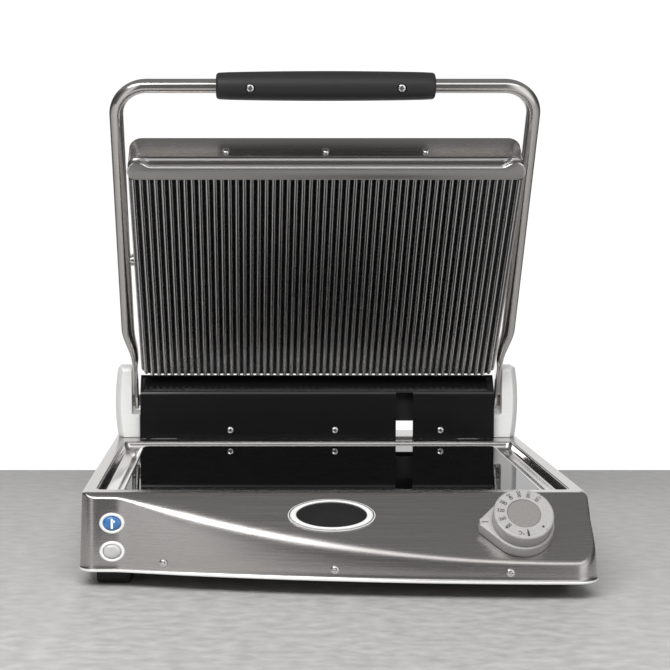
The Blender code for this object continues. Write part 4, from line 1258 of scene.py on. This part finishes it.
def outside_corner(y, radius, start):
    """What rounding takes off one corner of the plate. The arc starts at start degrees."""
    x_side = 1 if start in (0, 270) else -1
    y_side = 1 if start in (0, 90) else -1
    bow = arc(x_side * (PLATE_HALF - radius), y - y_side * radius, radius, start, start + 90, 16)
    corner = (x_side * (PLATE_HALF + 2), y + y_side * 2)
    first = (bow[0][0], corner[1])
    last = (corner[0], bow[-1][1])
    if start in (0, 180):
        first = (corner[0], bow[0][1])
        last = (bow[-1][0], corner[1])
    return prism([first] + bow + [last, corner], PLATE_Z - 5, PLATE_TOP + 5)


def ribbed_plate(space, finishes):
    """The black glass plate with half-round ribs below, which take a bright metal finish: a painted highlight
    on the glass.
    """
    root = PLATE_Z + RIB_DEPTH
    outline = [(-PLATE_HALF, PLATE_TOP), (-PLATE_HALF, PLATE_Z + 1.2), (-PLATE_HALF + 0.8, PLATE_Z + 0.4)]
    first = -RIB_PITCH * (RIB_COUNT - 1) / 2
    for i in range(RIB_COUNT):
        x = first + RIB_PITCH * i
        outline += [(x + RIB_HALF * c, root + RIB_DEPTH * s) for c, s in arc(0, 0, 1, 180, 360, 12)]
    outline += [(PLATE_HALF - 0.8, PLATE_Z + 0.4), (PLATE_HALF, PLATE_Z + 1.2), (PLATE_HALF, PLATE_TOP)]
    corners = [outside_corner(PLATE_YS[0], PLATE_FRONT_R, start) for start in (180, 270)]
    corners += [outside_corner(PLATE_YS[1], PLATE_REAR_R, start) for start in (0, 90)]
    plate = carved(along_y(outline, *PLATE_YS), joined(*corners))
    # The ribs take the bright metal finish, a painted highlight standing in for the light caught on the black
    # glass
    for face in plate.faces:
        if abs(face.normal.y) < 0.5 and face.calc_center_median().z < root - 0.05:
            face.material_index = 1
    glass = finishes["ribbed_glass"]
    obj = piece("ribs", plate, space["lid"], "lid", glass, ["upper_plate"], 30)
    obj.data.materials.append(finishes["rib_painted_highlight"])


# The frame's own pieces that stay


def dress_kept_nodes(frame, finishes):
    """Gives every frame node that stays in sight the finish of its slot in the record."""
    slots = {entry["node"]: entry["material_slot"] for entry in frame["record"]["subparts"]}
    for name, obj in frame["nodes"].items():
        obj.data.materials.clear()
        obj.data.materials.append(finishes[slots[name]])


# The room


def stage_floor():
    """A pale worktop that ends behind the press and a little in front of it."""
    mesh = bpy.data.meshes.new("floor")
    reach = 6.0
    front = -0.46
    rear = 0.461
    corners = [(-reach, front, 0), (reach, front, 0), (reach, rear, 0), (-reach, rear, 0)]
    mesh.from_pydata(corners, [], [(0, 1, 2, 3)])
    floor = bpy.data.objects.new("floor", mesh)
    bpy.context.collection.objects.link(floor)
    pale = finish("pale_floor", (0.30, 0.295, 0.29), (0.42, 0.415, 0.41), (0.45, 0.6), (60.0, 90.0, 60.0))
    mesh.materials.append(pale)


def area_light(name, at, towards, size, power):
    data = bpy.data.lights.new(name, "AREA")
    data.shape = "RECTANGLE"
    data.size, data.size_y = size
    data.energy = power
    light = bpy.data.objects.new(name, data)
    bpy.context.collection.objects.link(light)
    light.location = at
    light.rotation_euler = (Vector(towards) - Vector(at)).to_track_quat("-Z", "Y").to_euler()
    return light


def lights():
    """A wide key that only lights matt surfaces, a glow from the left, and a strip seen only in the steel."""
    key = area_light("key", (-0.2, -1.6, 1.7), (0, 0, 0.1), (2.0, 1.0), 75)
    key.visible_glossy = False
    area_light("glow", (-1.0, -1.6, 1.55), (0, -0.1, 0.1), (1.6, 0.7), 14)
    strip = area_light("strip", (0.2, -1.6, 1.4), (0, -0.1, 0.1), (2.6, 0.6), 6)
    strip.visible_diffuse = False


# How bright the room is at each bearing from the front, in degrees
BEARINGS = (
    (-180, 1.0),
    (-150, 1.0),
    (-142, 0.1),
    (-100, 0.06),
    (-70, 0.08),
    (-50, 0.14),
    (-40, 0.35),
    (-33, 0.55),
    (-28, 0.7),
    (-23, 0.95),
    (-19, 0.32),
    (-16, 0.13),
    (-12, 0.1),
    (-5, 0.13),
    (0, 0.1),
    (8, 0.1),
    (13, 0.2),
    (20, 0.6),
    (30, 0.95),
    (50, 0.9),
    (75, 0.12),
    (100, 0.06),
    (142, 0.1),
    (150, 1.0),
    (180, 1.0),
)
CEILING = 0.20
CEILING_FROM = 0.35
CEILING_FULL = 0.62
SKY_STRENGTH = 1.05


def sky():
    """A studio, white behind the press and mostly dark on the camera's side, with a dim ceiling."""
    world = bpy.data.worlds.new("studio")
    bpy.context.scene.world = world
    world.use_nodes = True
    tree = world.node_tree
    background = tree.nodes["Background"]
    place = tree.nodes.new("ShaderNodeTexCoord")
    split = tree.nodes.new("ShaderNodeSeparateXYZ")
    tree.links.new(place.outputs["Generated"], split.inputs["Vector"])

    forward = tree.nodes.new("ShaderNodeMath")
    forward.operation = "MULTIPLY"
    forward.inputs[1].default_value = -1.0
    tree.links.new(split.outputs["Y"], forward.inputs[0])
    bearing = tree.nodes.new("ShaderNodeMath")
    bearing.operation = "ARCTAN2"
    tree.links.new(split.outputs["X"], bearing.inputs[0])
    tree.links.new(forward.outputs["Value"], bearing.inputs[1])
    turn = tree.nodes.new("ShaderNodeMapRange")
    turn.inputs["From Min"].default_value = -math.pi
    turn.inputs["From Max"].default_value = math.pi
    tree.links.new(bearing.outputs["Value"], turn.inputs["Value"])
    walls = tree.nodes.new("ShaderNodeValToRGB")
    stops = walls.color_ramp.elements
    while len(stops) < len(BEARINGS):
        stops.new(0.5)
    for stop, (degrees, value) in zip(stops, BEARINGS):
        stop.position = degrees / 360 + 0.5
        stop.color = (value, value, value, 1)
    tree.links.new(turn.outputs["Result"], walls.inputs["Fac"])

    height = tree.nodes.new("ShaderNodeMapRange")
    height.interpolation_type = "SMOOTHSTEP"
    height.inputs["From Min"].default_value = CEILING_FROM
    height.inputs["From Max"].default_value = CEILING_FULL
    tree.links.new(split.outputs["Z"], height.inputs["Value"])
    # A mix node keeps its two colours in sockets 6 and 7, and gives a colour out of socket 2
    mix = tree.nodes.new("ShaderNodeMix")
    mix.data_type = "RGBA"
    tree.links.new(height.outputs["Result"], mix.inputs["Factor"])
    tree.links.new(walls.outputs["Color"], mix.inputs[6])
    mix.inputs[7].default_value = (CEILING, CEILING, CEILING, 1)
    tree.links.new(mix.outputs[2], background.inputs["Color"])
    background.inputs["Strength"].default_value = SKY_STRENGTH


CAMERA_AT = (-0.0727, -1.47505, 0.311)
CAMERA_TILT = math.radians(85.88)
CAMERA_LENS = 82.8
CAMERA_SHIFT = 0.1284


def camera():
    data = bpy.data.cameras.new("camera")
    data.sensor_width = 36.0
    data.lens = CAMERA_LENS
    data.shift_x = CAMERA_SHIFT
    obj = bpy.data.objects.new("camera", data)
    bpy.context.collection.objects.link(obj)
    obj.location = CAMERA_AT
    obj.rotation_euler = (CAMERA_TILT, 0, 0)
    bpy.context.scene.camera = obj
    bpy.context.scene.view_settings.view_transform = "Standard"


def main():
    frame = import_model()
    space = spaces(frame)
    finishes = materials()
    dress_kept_nodes(frame, finishes)
    base_skin(space, finishes)
    drip_frame(space, finishes)
    glass_seal(space, finishes)
    feet(space, finishes)
    screws(space, finishes)
    dial(space, finishes)
    buttons(space, finishes)
    badge(space, finishes)
    rear_panel(space, finishes)
    towers(space, finishes)
    handle_tube(space, finishes)
    grip(space, finishes)
    lid_cover(space, finishes)
    bezel(space, finishes)
    ribbed_plate(space, finishes)
    stage_floor()
    lights()
    sky()
    camera()


main()
